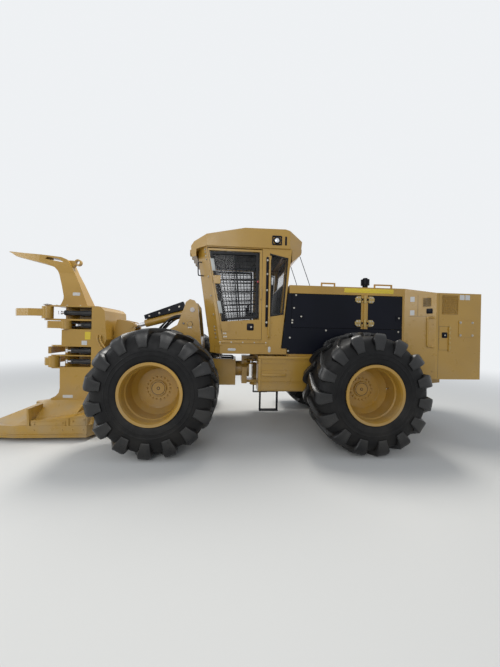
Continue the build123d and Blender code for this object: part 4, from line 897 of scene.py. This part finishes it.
# %% Pads, latch, strip and rail
lean = 0.0206
pad_corners = ((-0.030 - lean, -0.105), (0.030 - lean, -0.105), (0.030 + lean, 0.105),
    (-0.030 + lean, 0.105))
pads = [plate([(x + a, z + b) for a, b in pad_corners], LEFT, window_face, 0.012, 0.004)
    for x, z in ((0.846, 2.950), (0.716, 2.225))]
fitted(pads, "glass_hinge_pads", "cab_door", pad_white, 30)
latch = panels(LEFT, ((0.125, 1.835, 0.245, 1.955, 0.018, 0.720, 0.008),
    (0.145, 1.850, 0.225, 1.925, 0.02, 0.728, 0.010)))
fitted(latch, "door_latch", "cab_door", black, 30)
bolts("door_latch_lock", "cab_door", [at(0.170, 0.738, 1.893)], (0, 1, 0), 0.011, 0.008)
corner_spots = at_side(0.7205, ((0.632, 1.718), (0.640, 1.775), (0.648, 1.830), (0.655, 1.887),
    (0.600, 1.718), (0.608, 1.775)))
bolts("door_corner_bolts", "cab_door", corner_spots, (0, 1, 0), 0.010, 0.008)

strip = panels(LEFT, [(-0.118, 1.900, -0.074, 3.120, 0.015, cab_side, 0.012, 0.003)])
fitted_both(strip, "pillar_strip", "chassis", black, 30)
strip_spots = [at(-0.096, 0.7315, z) for z in (1.98, 2.26, 2.54, 2.82, 3.06)]
bolts_each_side("strip_studs", "chassis", strip_spots, (0, 1, 0), 0.012, 0.010)

rail = run(((-0.135, 0.718, 1.72), (-0.135, 0.772, 1.72), (-0.135, 0.776, 1.75), (-0.135, 0.776, 3.08),
    (-0.135, 0.772, 3.11), (-0.135, 0.718, 3.11)), 0.014)
middle = bar((-0.135, 0.718, 2.42), (-0.135, 0.770, 2.42), 0.011)
feet = panels(LEFT, [(-0.165, z - 0.035, -0.105, z + 0.035, 0.012, cab_side, 0.008) for z in (1.72, 3.11)])
fitted_both([rail, middle] + feet, "cab_grab_rail", "chassis", yellow, 40)


def pillar_x(z):
    """The cab's front side corner, which leans forward as it rises."""
    return 0.700 + 0.260 * (z - 1.530) / 1.740


corner_turn = Vector((0.34, 0.20, -0.05)).normalized()
pillar_rows = [(z, 0.20) for z in (3.230, 3.180, 3.120, 3.060, 2.760, 2.430, 2.100)]
pillar_rows += [(z, 0.26) for z in (1.890, 1.830, 1.770, 1.700)]
pillar_spots = [at(pillar_x(z) + 0.200 * along, 0.720 - 0.340 * along, z) for z, along in pillar_rows]
bolts_each_side("pillar_bolts", "chassis", pillar_spots, corner_turn, 0.013, 0.010)

tags = panels(LEFT, ((0.428, 1.476, 0.568, 1.520, 0.021, cab_side, 0.004, 0.001),
    (-0.178, 1.456, -0.132, 1.560, 0.022, cab_side, 0.004, 0.001)))
fitted(tags, "cab_oval_plates", "chassis", plate_white, 30)
red_knob = panels(LEFT, [(0.052, 2.665, 0.084, 2.700, 0.014, window_face, 0.010, 0.003)])
fitted(red_knob, "window_release", "cab_door", knob_red, 30)
print("cab side fitted")

# %% [markdown]
# ## Lamps and rails on the roof
# Work lamps are cups with a bright reflector and a clear lens; here a spun bezel stands round a shallow
# pale lens with a ribbed face. A square-framed lamp looks out on each side. Behind it a black plate is
# painted shade for an air slit; under the front corners hangs a small rail, and two whip aerials lean
# from the hood to the roof.

# %% Lamps
bezels = []
lenses = []


def lamp_face(place, direction, radius):
    """Adds a bezel and a crowned lens, facing one way."""
    bezel = spun([(0, radius), (0.022, radius * 0.97), (0.026, radius * 0.86), (0.006, radius * 0.80),
        (0, radius * 0.80)], steps=32)
    lens = spun([(0.004, radius * 0.82), (0.012, radius * 0.62), (0.016, radius * 0.34), (0.0175, 0.002),
        (0.002, 0.002), (0.002, radius * 0.82)], steps=32)
    turn = turn_to(direction, (0, 1, 0))
    for part, row in ((bezel, bezels), (lens, lenses)):
        part.data.transform(Matrix.Translation(place) @ turn)
        row.append(part)


for y in (-0.34, -0.12, 0.12, 0.34):
    lamp_face(at(1.264, y, 3.250), (1, 0, -0.06), 0.062)
for y in (-0.30, 0.30):
    lamp_face(at(-0.752, y, 3.370), (-1, 0, 0), 0.062)
for side, sign, plane in SIDES:
    lamp_face(at(-0.250, sign * 0.752, 3.405), (0, sign, 0), 0.060)
    bezels.append(frame_plate(oblong(-0.335, 3.325, -0.165, 3.485, 0.012),
        oblong(-0.315, 3.345, -0.185, 3.465, 0.010), plane, roof_side, 0.016))
    # A black plate behind the side lamp is painted shade standing for an air slit.
    bezels += panels(plane, [(-0.425, 3.325, -0.392, 3.480, 0.012, roof_side, 0.006)])
fitted(bezels, "lamp_bezels", "chassis", black, 35)
fitted(lenses, "lamp_lenses", "chassis", lens_clear, 35)

corner_path = ((1.020, 3.040), (1.125, 3.060), (1.135, 3.030), (1.130, 2.830), (1.118, 2.806),
    (0.960, 2.806))
corner_rails = [pipe(at_side(y, corner_path), 0.010) for y in (0.480, -0.480)]
fitted(corner_rails, "roof_corner_rails", "chassis", black, 40)

aerials = []
for x0, z0, x1, z1, y in ((-0.710, 2.640, -0.580, 3.055, 0.40), (-0.975, 2.640, -0.762, 3.262, 0.36)):
    whip = ((x0, z0), (x0, z0 + 0.05), ((x0 + x1) / 2 - 0.01, (z0 + z1) / 2), (x1, z1))
    aerials.append(pipe(at_side(y, whip), 0.006))
    aerials.append(bar((x0, y, z0 - 0.003), (x0, y, z0 + 0.045), 0.016))
fitted(aerials, "whip_aerials", "chassis", black, 40)
print("roof fitted")

# %% [markdown]
# ## The engine's side
# The black side panels are bolted along their slanting front edge. The doors turn on two broad hinges
# with stiffening webs, each leaf held by four bolts, and close with a latch in a shallow box. A plain
# yellow strip is fitted above the doors. The leaves ride on the doors, the rest on the machine.

# %% Panel bolts, hinges, latches and the yellow strip
edge_spots = [(-0.605, 2.466), (-0.572, 2.243), (-0.547, 2.030), (-0.543, 1.985), (-0.508, 1.723),
    (-0.480, 1.490)]
hinge_heights = (2.420, 2.000)
seam_spots = [(-1.150, 1.480), (-1.150, 1.860), (-2.480, 1.480), (-2.480, 1.860)]
for side, sign, plane in SIDES:
    bolts(f"panel_bolts_{side}", "chassis", at_side(sign * 0.750, edge_spots + seam_spots), (0, sign, 0),
        0.011, 0.008)
    for body, toward, start in ((f"door_front_{side}", 1, -1.7755), (f"door_rear_{side}", -1, -1.9145)):
        leaves = []
        spots = []
        for z in hinge_heights:
            far = start + toward * 0.105
            leaf = [(start, z - 0.060), (far - toward * 0.035, z - 0.060), (far, z - 0.025),
                (far, z + 0.025), (far - toward * 0.035, z + 0.060), (start, z + 0.060)]
            leaves.append(plate(leaf, plane, 0.7500, 0.014, 0.003))
            web = [(start, z - 0.006), (start, z + 0.006), (far - toward * 0.02, z + 0.004),
                (far - toward * 0.02, z - 0.004)]
            leaves.append(plate(web, plane, 0.7635, 0.010, 0.002))
            spots += [at(start + toward * a, sign * 0.764, z + b) for a in (0.030, 0.072)
                for b in (-0.036, 0.036)]
        fitted(leaves, f"hinge_leaves_{body}", body, pad_bronze, 30)
        bolts(f"hinge_bolts_{body}", body, spots, (0, sign, 0), 0.010, 0.008)
    for body, x, z in ((f"door_front_{side}", -0.700, 2.095), (f"door_rear_{side}", -2.480, 2.105)):
        box = frame_plate(oblong(x - 0.055, z - 0.055, x + 0.055, z + 0.055, 0.010),
            oblong(x - 0.040, z - 0.040, x + 0.040, z + 0.040, 0.008), plane, enclosure_side, 0.008)
        paddle = plate(oblong(x - 0.032, z - 0.022, x + 0.032, z + 0.024, 0.008), plane, enclosure_side,
            0.010, 0.003)
        fitted([box, paddle], f"latch_{body}", body, black, 30)
        bolts(f"latch_pin_{body}", body, [at(x, sign * 0.7595, z)], (0, sign, 0), 0.010, 0.007)
    post = panels(plane, [(-1.866, z - 0.065, -1.824, z + 0.065, 0.004, 0.7715, 0.006)
        for z in hinge_heights])
    fitted(post, f"hinge_post_pads_{side}", "chassis", pad_bronze, 30)
    strip = panels(plane, [(-2.376, 2.540, -1.469, 2.618, 0.006, enclosure_side, 0.003, 0.001)])
    fitted(strip, f"blank_strip_{side}", "chassis", plate_yellow, 30)

seam_half = 0.003
hood_seams = panels(TOP, [(x - seam_half, -0.745, x + seam_half, 0.745, 0, hood_top, 0.0012, 0)
    for x in (-1.120, -1.500, -2.150)])
fitted(hood_seams, "hood_seams", "chassis", dark)
rail_spots = [at(x, sign * 0.420, 2.640) for sign in (1, -1) for x in (-1.47, -1.125, -2.595, -2.165)]
bolts("hood_bolts", "chassis", rail_spots, (0, 0, 1), 0.012, 0.009)
print("engine side fitted")

# %% [markdown]
# ## The tail
# The tail box widens in a slanted face that carries a small vent, a black latch, a long grab rail on two
# feet and two blank plates. The flat side behind has a coarse grille, a small latched door with a row
# of hinge knuckles, a bolted cover and two blank plates. The slant is described once as a plane, and
# its pieces are drawn on it as on paper.

# %% Slanted face and flat side
seated = -0.0005
slant_across = Vector((-0.395, 0.250, 0)).normalized()
slant_out = Vector((0.250, 0.395, 0)).normalized()
rail_points = ((0.425, 2.115, -0.001), (0.360, 2.120, 0.055), (0.345, 2.120, 0.060), (0.340, 2.085, 0.060),
    (0.340, 1.660, 0.060), (0.345, 1.622, 0.060), (0.360, 1.622, 0.055), (0.425, 1.617, -0.001))
slant_spots = ((0.085, 1.994), (0.152, 2.081), (0.047, 1.705), (0.432, 1.994), (0.436, 1.729),
    (0.431, 1.464), (0.425, 1.186))
side_seams = ((-3.235, 1.560, -3.040, 1.564), (-3.235, 1.964, -3.040, 1.968),
    (-3.042, 1.560, -3.038, 1.968), (-3.030, 1.080, -3.026, 2.530))
for side, sign, plane in SIDES:
    slant = (Vector((slant_across.x, sign * slant_across.y, 0)), Vector((0, 0, 1)),
        Vector((slant_out.x, sign * slant_out.y, 0)))
    fold = at(-2.590, sign * 0.750, 0)

    def on_slant(a, z, out=0.0):
        return fold + slant[0] * a + Vector((0, 0, z)) + slant[2] * out

    vent = [frame_plate(oblong(0.265, 2.300, 0.400, 2.470, 0.008),
        oblong(0.275, 2.310, 0.390, 2.460, 0.006), slant, seated, 0.006, 0.001, fold)]
    slat_feet = [2.318 + index * 0.0165 for index in range(9)]
    vent += panels(slant, [(0.274, z, 0.391, z + 0.006, 0, seated, 0.006, 0.001) for z in slat_feet], fold)
    fitted(vent, f"small_vent_{side}", "chassis", yellow, 30)
    # A dark plate behind the slats is painted shade inside the vent.
    vent_shade = panels(slant, [(0.272, 2.306, 0.394, 2.464, 0, -0.001, 0.002, 0)], fold)
    fitted(vent_shade, f"small_vent_shade_{side}", "chassis", dark)
    latch = panels(slant, ((0.325, 2.185, 0.415, 2.275, 0.014, seated, 0.008),
        (0.342, 2.200, 0.398, 2.250, 0.010, 0.0075, 0.008, 0.003)), fold)
    fitted(latch, f"tail_latch_{side}", "chassis", black, 30)
    rail = [pipe([on_slant(*point) for point in rail_points], 0.013)]
    rail += panels(slant, [(0.400, z - 0.024, 0.450, z + 0.024, 0.008, seated, 0.008)
        for z in (2.115, 1.617)], fold)
    fitted(rail, f"tail_grab_rail_{side}", "chassis", yellow, 40)
    cards = panels(slant, [(0.085, z, 0.150, z + 0.090, 0.006, seated, 0.002, 0) for z in (2.400, 2.160)],
        fold)
    cards += panels(plane, [(x, 2.430, x + 0.085, 2.515, 0.006, tail_side, 0.002, 0)
        for x in (-3.490, -3.590)])
    fitted(cards, f"tail_blank_plates_{side}", "chassis", plate_white)
    spots = [on_slant(a, z) for a, z in slant_spots]
    bolts(f"slant_bolts_{side}", "chassis", spots, slant[2], 0.010, 0.008, yellow)
    seams = panels(slant, ((0.060, 2.140, 0.445, 2.144, 0, seated, 0.001, 0),
        (0.1975, 2.144, 0.2015, 2.520, 0, seated, 0.001, 0)), fold)
    seams += panels(plane, [(*box, 0, 0.9996, 0.001, 0) for box in side_seams])
    fitted(seams, f"tail_seams_{side}", "chassis", dark)
    latch = panels(plane, ((-3.185, 1.770, -3.090, 1.865, 0.014, tail_side, 0.008),
        (-3.166, 1.785, -3.109, 1.840, 0.010, 1.0070, 0.008)))
    fitted(latch, f"side_door_latch_{side}", "chassis", black, 30)
    bolts(f"side_latch_pin_{side}", "chassis", [at(-3.137, sign * 1.0145, 1.815)], (0, sign, 0), 0.009,
        0.006)
    knuckle_y = sign * 1.012
    knuckle_feet = [1.575 + index * 0.086 for index in range(5)]
    knuckles = [bar((-3.225, knuckle_y, z), (-3.225, knuckle_y, z + 0.050), 0.014) for z in knuckle_feet]
    fitted(knuckles, f"side_door_knuckles_{side}", "chassis", pad_bronze, 40)
    cover = [at(x, sign * 1.0075, z) for x in (-3.640, -3.420) for z in (1.820, 2.040)]
    bolts(f"cover_bolts_{side}", "chassis", cover, (0, sign, 0), 0.014, 0.010)
    mesh_corners = ((-3.090, 2.185), (-3.090, 2.490), (-3.370, 2.490), (-3.370, 2.185))
    mesh_panel = wire_guard(mesh_corners, plane, 0.9985, 26, 28, 0.004)
    done(mesh_panel, f"grille_mesh_{side}", "chassis", yellow)
print("tail fitted")

# %% [markdown]
# ## The felling head
# Between the head's shelves the photograph shows crowded machinery, but not its form. Plain cylinders
# with hoses stand in for it, each a barrel with a gland and a bright rod. They don't follow the arms.
# Small blank plates are fitted to the head's side, and two yellow rods curve down the rear box.

# %% Arm cylinders and hoses between the shelves
barrels = []
rods = []
lines = []
for level, sign in ((2.085, 1), (1.905, -1), (1.420, 1), (1.230, -1)):
    y = sign * 0.245
    barrels.append(bar((2.900, y * 0.72, level), (3.260, y * 0.90, level), 0.042, 6))
    barrels.append(bar((3.235, y * 0.89, level), (3.275, y * 0.905, level), 0.050, 6))
    rods.append(bar((3.270, y * 0.905, level), (3.440, y * 1.02, level), 0.022, 5))
    for lift in (0.034, -0.030):
        lines.append(run(((2.945, y * 0.55, level + lift), (3.060, y * 0.30, level + lift),
            (3.190, y * 0.35, level + lift * 0.5), (3.300, y * 0.62, level + lift),
            (3.330, y * 0.86, level + lift * 0.6)), 0.012))
fitted(barrels, "arm_cylinder_barrels", "felling_head", dark, 40)
fitted(rods, "arm_cylinder_rods", "felling_head", chrome, 40)
fitted(lines, "arm_cylinder_hoses", "felling_head", hose_rubber, 40)

# %% Plates and curved rods on the head
cards = panels(LEFT, ((3.048, 1.522, 3.140, 1.597, 0.008, head_side, 0.003, 0),
    (3.270, 0.590, 3.440, 0.640, 0.008, head_side, 0.003, 0)))
fitted(cards, "head_blank_plates", "felling_head", plate_white)
card = panels(LEFT, [(2.990, 1.620, 3.085, 1.755, 0.008, head_side, 0.003, 0)])
fitted(card, "head_yellow_plate", "felling_head", plate_yellow)
rod_path = ((2.862, 0.452, 1.690), (2.862, 0.486, 1.680), (2.850, 0.492, 1.600), (2.805, 0.492, 1.520),
    (2.752, 0.486, 1.450), (2.745, 0.440, 1.435))
hooks = [run([(x - shift, y, z) for x, y, z in rod_path], 0.013) for shift in (0.0, 0.050)]
fitted(hooks, "head_curved_rods", "felling_head", yellow, 40)
print("head fitted")

# %% [markdown]
# ## Window seals, lining and wiper
# The panes sit in rubber seals. The front and rear panes lean, so each has its own plane, given by a
# point at its foot and the direction up the glass. Inside, the cab is lined in dark plates, partly its
# real lining and partly painted shade, which darkens its windows from outside. A wiper parks on the
# front pane.

# %% Seals and lining
quarter_window = [(-0.150, 2.080), (-0.135, 3.187), (-0.465, 3.115), (-0.398, 2.120)]
for plane, side in ((LEFT, "left"), (RIGHT, "right")):
    seal = frame_plate(shifted_outline(quarter_window, -0.008), shifted_outline(quarter_window, 0.030),
        plane, cab_side, 0.006)
    done(seal, f"quarter_seal_{side}", "chassis", seal_rubber, 30)

up_front = Vector((0.260, 0, 1.740)).normalized()
front_pane = (Vector((0, 1, 0)), up_front, Vector((up_front.z, 0, -up_front.x)))
up_rear = Vector((-0.165, 0, 1.740)).normalized()
rear_pane = (Vector((0, 1, 0)), up_rear, Vector((-up_rear.z, 0, up_rear.x)))
front_foot = at(0.900, 0, 1.530)
rear_foot = at(-0.360, 0, 1.530)
seal = frame_plate(oblong(-0.340, 0.352, 0.340, 1.700, 0.03), oblong(-0.285, 0.410, 0.285, 1.640, 0.03),
    front_pane, -0.001, 0.008, 0.002, front_foot)
done(seal, "front_window_seal", "chassis", seal_rubber, 30)
seal = frame_plate(oblong(-0.540, 1.145, 0.540, 1.690, 0.03), oblong(-0.480, 1.205, 0.480, 1.640, 0.03),
    rear_pane, -0.001, 0.008, 0.002, rear_foot)
done(seal, "rear_window_seal", "chassis", seal_rubber, 30)


def on_front(a, s, out):
    return front_foot + front_pane[0] * a + front_pane[1] * s + front_pane[2] * out


wiper = [pipe([on_front(*point) for point in points], radius, bends) for radius, bends, points in (
    (0.018, False, ((-0.20, 0.36, 0.0), (-0.20, 0.36, 0.035))),
    (0.007, True, ((-0.20, 0.36, 0.030), (-0.17, 0.62, 0.034), (-0.12, 0.92, 0.020))),
    (0.008, False, ((-0.17, 0.62, 0.010), (-0.07, 1.18, 0.010))),
)]
fitted(wiper, "front_wiper", "chassis", black, 40)
# The dark lining plates below are partly the cab's real lining and partly painted shade inside the cab.
ceiling = [(-0.40, -0.64), (0.80, -0.64), (1.00, -0.34), (1.00, 0.34), (0.80, 0.64), (-0.40, 0.64)]
cab_floor = [(-0.28, -0.62), (0.62, -0.62), (0.80, -0.34), (0.80, 0.34), (0.62, 0.62), (-0.28, 0.62)]
lining = [plate(ceiling, TOP, 3.205, 0.010), plate(cab_floor, TOP, 1.5705, 0.010)]
lining += panels(RIGHT, [(-0.26, 1.60, 0.62, 1.95, 0.02, 0.645, 0.010)])
lining += panels(rear_pane, [(-0.56, 0.060, 0.56, 1.120, 0.03, -0.075, 0.010)], rear_foot)
fitted(lining, "cab_lining_and_shade", "chassis", dark, 30)
print("cab lined")

# %% [markdown]
# ## The seat
# The operator's seat is the only soft thing here: a squab and a backrest with rolled sides and sewn
# channels. A block is cut into a fine net, its faces are swelled by a crown that dies out at the edges,
# its corners are pulled in, and shallow grooves mark the channels before a subdivision rounds
# everything. The plain CAD seat is replaced.

# %% Squab, backrest and armrests
def cushion(name, size, place, lean, crown, channels):
    """A padded block: size along x, y and z, leaning about y in degrees."""
    clear()
    bpy.ops.mesh.primitive_cube_add(size=2)
    piece = bpy.context.object
    edit_all()
    bpy.ops.mesh.subdivide(number_cuts=13)
    leave_edit()
    half = Vector(size) / 2
    for vertex in piece.data.vertices:
        u, v, w = vertex.co
        edge = (1 - 0.10 * abs(v * w) ** 3, 1 - 0.07 * abs(u * w) ** 3, 1 - 0.10 * abs(u * v) ** 3)
        swell = crown * (1 - u ** 4) * (1 - v ** 4)
        groove = 0.0
        for channel in channels:
            groove = max(groove, math.exp(-((v - channel) / 0.045) ** 2))
        lift = swell * (1 - 0.65 * groove) if abs(w) > 0.99 else swell * 0.4
        height = half.z * w * edge[2] + lift * w
        vertex.co = (half.x * u * edge[0], half.y * v * edge[1], height)
    apply_modifier(piece, "SUBSURF", levels=1, render_levels=1)
    piece.rotation_euler = (0, math.radians(lean), 0)
    piece.location = place
    outward_faces(piece)
    done(piece, name, "chassis", seat_cloth, 60)
    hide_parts("operator_seat")


cushion("seat_squab", (0.470, 0.470, 0.105), at(0.095, 0, 1.975), -3, 0.018, (-0.62, 0.62))
cushion("seat_back", (0.680, 0.450, 0.095), at(-0.212, 0, 2.405), -97, 0.016, (-0.60, 0.60))
base = panels(LEFT, ((-0.150, 1.902, 0.320, 1.925, 0.008, -0.210, 0.420),
    (-0.060, 1.612, 0.220, 1.905, 0.02, -0.120, 0.240, 0.006)))
base = fitted(base, "seat_base", "chassis", dark, 30)
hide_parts("operator_seat")
rests = mirrored(plate(oblong(-0.150, 2.125, 0.230, 2.185, 0.028, 4), LEFT, 0.262, 0.060, 0.018))
done(rests, "seat_armrests", "chassis", seal_rubber, 60)
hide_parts("operator_seat")
print("seat made")

# %% [markdown]
# ## Boom, tower and the hoses between them
# Hoses leave the tower beside the tilt cylinder, rise in a bow and dive between the boom's plates. They
# ride on the boom and start close to its pin, where the two parts hardly move against each other. Pin
# caps with keeper plates and bolts finish the joints.

# %% Boom hoses, pin caps and guard bolts
boom_hoses = ((0.105, 0.00, 0.00), (0.132, 0.022, 0.03), (0.159, -0.012, 0.05), (-0.105, 0.00, 0.00),
    (-0.135, 0.02, 0.04), (-0.162, 0.0, 0.02))
lines = []
for y, lift, reach in boom_hoses:
    lines.append(run(((1.335, y, 1.990), (1.440, y, 2.075 + lift), (1.560 + reach, y, 2.085 + lift),
        (1.720 + reach, y, 1.985 + lift), (1.860 + reach, y * 0.95, 1.830),
        (2.000 + reach, y * 0.85, 1.640), (2.060, y * 0.8, 1.520)), 0.0145))
fitted(lines, "boom_hoses", "boom", hose_rubber, 40)
ends = [bar((1.310, y, 1.970), (1.352, y, 2.004), 0.0185) for y, lift, reach in boom_hoses]
fitted(ends, "boom_hose_ends", "boom", zinc, 40)


def pin_cap(x, z, radius):
    """A domed cap with a turned rim on a pin's end, on the left side."""
    cap = spun([(0, radius), (0.008, radius), (0.012, radius * 0.92), (0.008, radius * 0.80),
        (0.012, radius * 0.40), (0.013, 0.002), (0, 0.002)], steps=32)
    cap.location = at(x, tower_side, z)
    settle(cap)
    return cap


caps = [pin_cap(1.290, 1.935, 0.052), pin_cap(1.408, 1.947, 0.020)]
keeper = plate([(1.255, 1.860), (1.325, 1.860), (1.335, 1.885), (1.245, 1.885)], LEFT, tower_side, 0.008)
fitted_both(caps + [keeper], "tower_pin_caps", "front_half", bare_steel, 40)
keeper_spots = at_side(0.2975, ((1.272, 1.872), (1.308, 1.872)))
bolts_each_side("keeper_bolts", "front_half", keeper_spots, (0, 1, 0), 0.010, 0.008)

tilt_along = Vector((1.150, 0, -0.325)).normalized()
tilt_above = Vector((-tilt_along.z, 0, tilt_along.x))
tilt_top = at(1.250, 0.0645, 2.205)
guard_spots = [tilt_top + tilt_along * reach + tilt_above * height
    for reach, height in ((0.260, 0.150), (0.460, 0.138), (0.660, 0.126), (0.860, 0.115))]
bolts_each_side("guard_bolts", "tilt_barrel", guard_spots, (0, 1, 0), 0.011, 0.008)
print("boom fitted")

# %% [markdown]
# ## Hoses over the centre joint
# Oil crosses from the rear frame to the front over the centre pin. The hoses are drawn straight over
# the joint, from a clamp on the frame behind to the yoke ahead, and are fastened to neither body.

# %% Centre hoses and their clamp
centre_path = ((-0.420, 1.365), (-0.300, 1.372), (-0.150, 1.382), (0.050, 1.372), (0.200, 1.300),
    (0.235, 1.200))
lines = [pipe(at_side(y, centre_path), 0.0125) for y in (-0.098, -0.060, -0.022, 0.022, 0.060, 0.098)]
hoses = fitted(lines, "centre_hoses", None, hose_rubber, 40)
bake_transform(hoses)
clamps = panels(BACK, [(-0.200, 1.347, 0.200, 1.394, 0.010, 0.395, 0.030, 0.003)])
fitted(clamps, "hose_clamp_rear", "chassis", zinc, 30)

# %% [markdown]
# ## Tank and saw housing
# The tank in front of the rear wheel has a rolled lip, a post, a pressed bar and a low rib. The saw
# housing is stiffened by a ledge along its foot, a gusset on each side and bolted wear plates.

# %% Trim on the tank and the housing
trim = panels(LEFT, ((-1.055, 1.352, 0.030, 1.392, 0.010, tank_side, 0.012, 0.004),
    (-0.006, 0.800, 0.032, 1.350, 0.008, tank_side, 0.010, 0.003),
    (-0.440, 1.052, -0.030, 1.100, 0.022, tank_side, 0.014, 0.006),
    (-1.055, 0.948, -0.010, 0.962, 0, tank_side, 0.007, 0.002)))
fitted_both(trim, "tank_trim", "chassis", yellow, 30)
tank_spots = at_side(tank_side, ((-0.080, 0.815), (-0.300, 0.815), (-0.520, 0.815), (-0.740, 0.815),
    (0.013, 1.310), (0.013, 0.850), (0.013, 1.080)))
bolts("tank_bolts", "chassis", tank_spots, (0, 1, 0), 0.010, 0.008, yellow)
ledge = plate([(2.800, 0.866), (3.900, 0.866), (4.398, 0.796), (4.636, 0.636), (4.650, 0.646),
    (4.406, 0.812), (3.903, 0.884), (2.796, 0.884)], TOP, 0.104, 0.014, 0.003)
gusset = plate([(0.440, 0.440), (0.820, 0.440), (0.820, 0.462), (0.452, 0.640), (0.440, 0.640)], FRONT,
    2.965, 0.025, 0.004)
fitted_both([ledge, gusset], "housing_ledge_and_gussets", "felling_head", yellow, 30)
wear_ahead = [(3.130, 0.150), (3.640, 0.150), (3.640, 0.300), (3.210, 0.325), (3.130, 0.325)]
wear_behind = [(2.815, 0.150), (3.050, 0.150), (3.050, 0.345), (2.818, 0.385)]
wear = [plate(outline, LEFT, housing_side, 0.008, 0.003) for outline in (wear_ahead, wear_behind)]
fitted_both(wear, "housing_wear_plates", "felling_head", yellow, 30)
wear_spots = at_side(0.8655, ((3.170, 0.180), (3.600, 0.180), (3.600, 0.275), (3.170, 0.295),
    (2.850, 0.180), (3.015, 0.180), (3.015, 0.320), (2.850, 0.345)))
bolts_each_side("wear_bolts", "felling_head", wear_spots, (0, 1, 0), 0.012, 0.009, yellow)

horn_side = (Vector((1, 0, 0)), Vector((0, -0.0952, 0.9955)), Vector((0, 0.9955, 0.0952)))
card = plate(oblong(3.375, -0.030, 3.505, 0.030, 0.006), horn_side, seated, 0.003, 0, at(0, 0.1165, 2.460))
done(card, "horn_blank_plate", "felling_head", plate_white)
print("housing fitted")

# %% [markdown]
# ## What fills the head, and the sill
# Seen from the side the shelves are full, so a second row of stand-in cylinders lies along the head's
# wall, with hoses. They are pipes on points, repeated from a short table of shelf heights and lengths.
# The sill under the cab door and the oil lines over the front frame are guessed as well.

# %% Outer arm cylinders, sill and oil lines
barrels = []
rods = []
lines = []
row_y = 0.395
for level, end_x in ((2.085, 3.560), (1.872, 3.270), (1.415, 3.430), (1.225, 3.430)):
    barrels.append(bar((2.985, row_y, level), (end_x - 0.120, row_y, level), 0.040, 6))
    for x in (3.000, end_x - 0.135):
        barrels.append(bar((x, row_y, level), (x + 0.030, row_y, level), 0.047, 6))
    eye_x = end_x - 0.020
    rods.append(bar((end_x - 0.120, row_y, level), (end_x, row_y, level), 0.022, 5))
    rods.append(bar((eye_x, row_y, level - 0.030), (eye_x, row_y, level + 0.030), 0.030, 6))
    for lift in (0.036, -0.036):
        lines.append(run(((3.020, 0.400, level + lift), (3.060, 0.428, level + lift * 1.2),
            (3.200, 0.432, level + lift * 0.6), (3.330, 0.428, level + lift),
            (3.360, 0.385, level + lift * 0.7), (3.330, 0.300, level + lift)), 0.010))
fitted_both(barrels, "outer_cylinder_barrels", "felling_head", dark, 40)
fitted_both(rods, "outer_cylinder_rods", "felling_head", chrome, 40)
fitted_both(lines, "outer_cylinder_hoses", "felling_head", hose_rubber, 40)

sill = panels(LEFT, [(-0.130, 1.612, 0.735, 1.640, 0.006, cab_side, 0.016, 0.004)])
for x in (-0.105, 0.690):
    sill.append(plate([(x - 0.030, 1.560), (x + 0.030, 1.560), (x + 0.020, 1.612), (x - 0.020, 1.612)],
        LEFT, cab_side, 0.012, 0.003))
fitted_both(sill, "door_sill", "chassis", yellow, 30)
sill_spots = [at(x, 0.7355, 1.626) for x in (-0.090, 0.110, 0.310, 0.510, 0.700)]
bolts("sill_bolts", "chassis", sill_spots, (0, 1, 0), 0.008, 0.006)

oil_path = ((1.075, 1.345), (0.980, 1.335), (0.840, 1.318), (0.640, 1.310), (0.520, 1.312), (0.470, 1.305),
    (0.462, 1.275))
lines = []
ends = []
for y in (0.275, 0.235, 0.195, -0.235, -0.275):
    lines.append(pipe(at_side(y, oil_path), 0.0125))
    ends.append(bar((0.700, y, 1.3125), (0.780, y, 1.3155), 0.0165))
    ends.append(bar((0.462, y, 1.276), (0.462, y, 1.296), 0.0175))
fitted(lines, "front_oil_lines", "front_half", hose_rubber, 40)
fitted(ends, "front_oil_line_ends", "front_half", chrome, 40)

# Caps over the arm pins, and bolts, on the head's top shelf.
caps = []
for x, y in ((3.735, 0.420), (3.735, -0.420)):
    cap = spun([(0, 0.062), (0.010, 0.062), (0.014, 0.056), (0.014, 0.030), (0.022, 0.026), (0.022, 0.002),
        (0, 0.002)], steps=28)
    cap.data.transform(Matrix.Translation(at(x, y, shelf_top)) @ Matrix.Rotation(math.radians(90), 4, "X"))
    caps.append(cap)
fitted(caps, "arm_pin_caps", "felling_head", bare_steel, 40)
boss_spots = [at(x, y, shelf_top) for x in (3.200, 3.420, 3.600) for y in (0.400, -0.400)]
bolts("top_shelf_bolts", "felling_head", boss_spots, (0, 0, 1), 0.012, 0.010)
print("head filled")
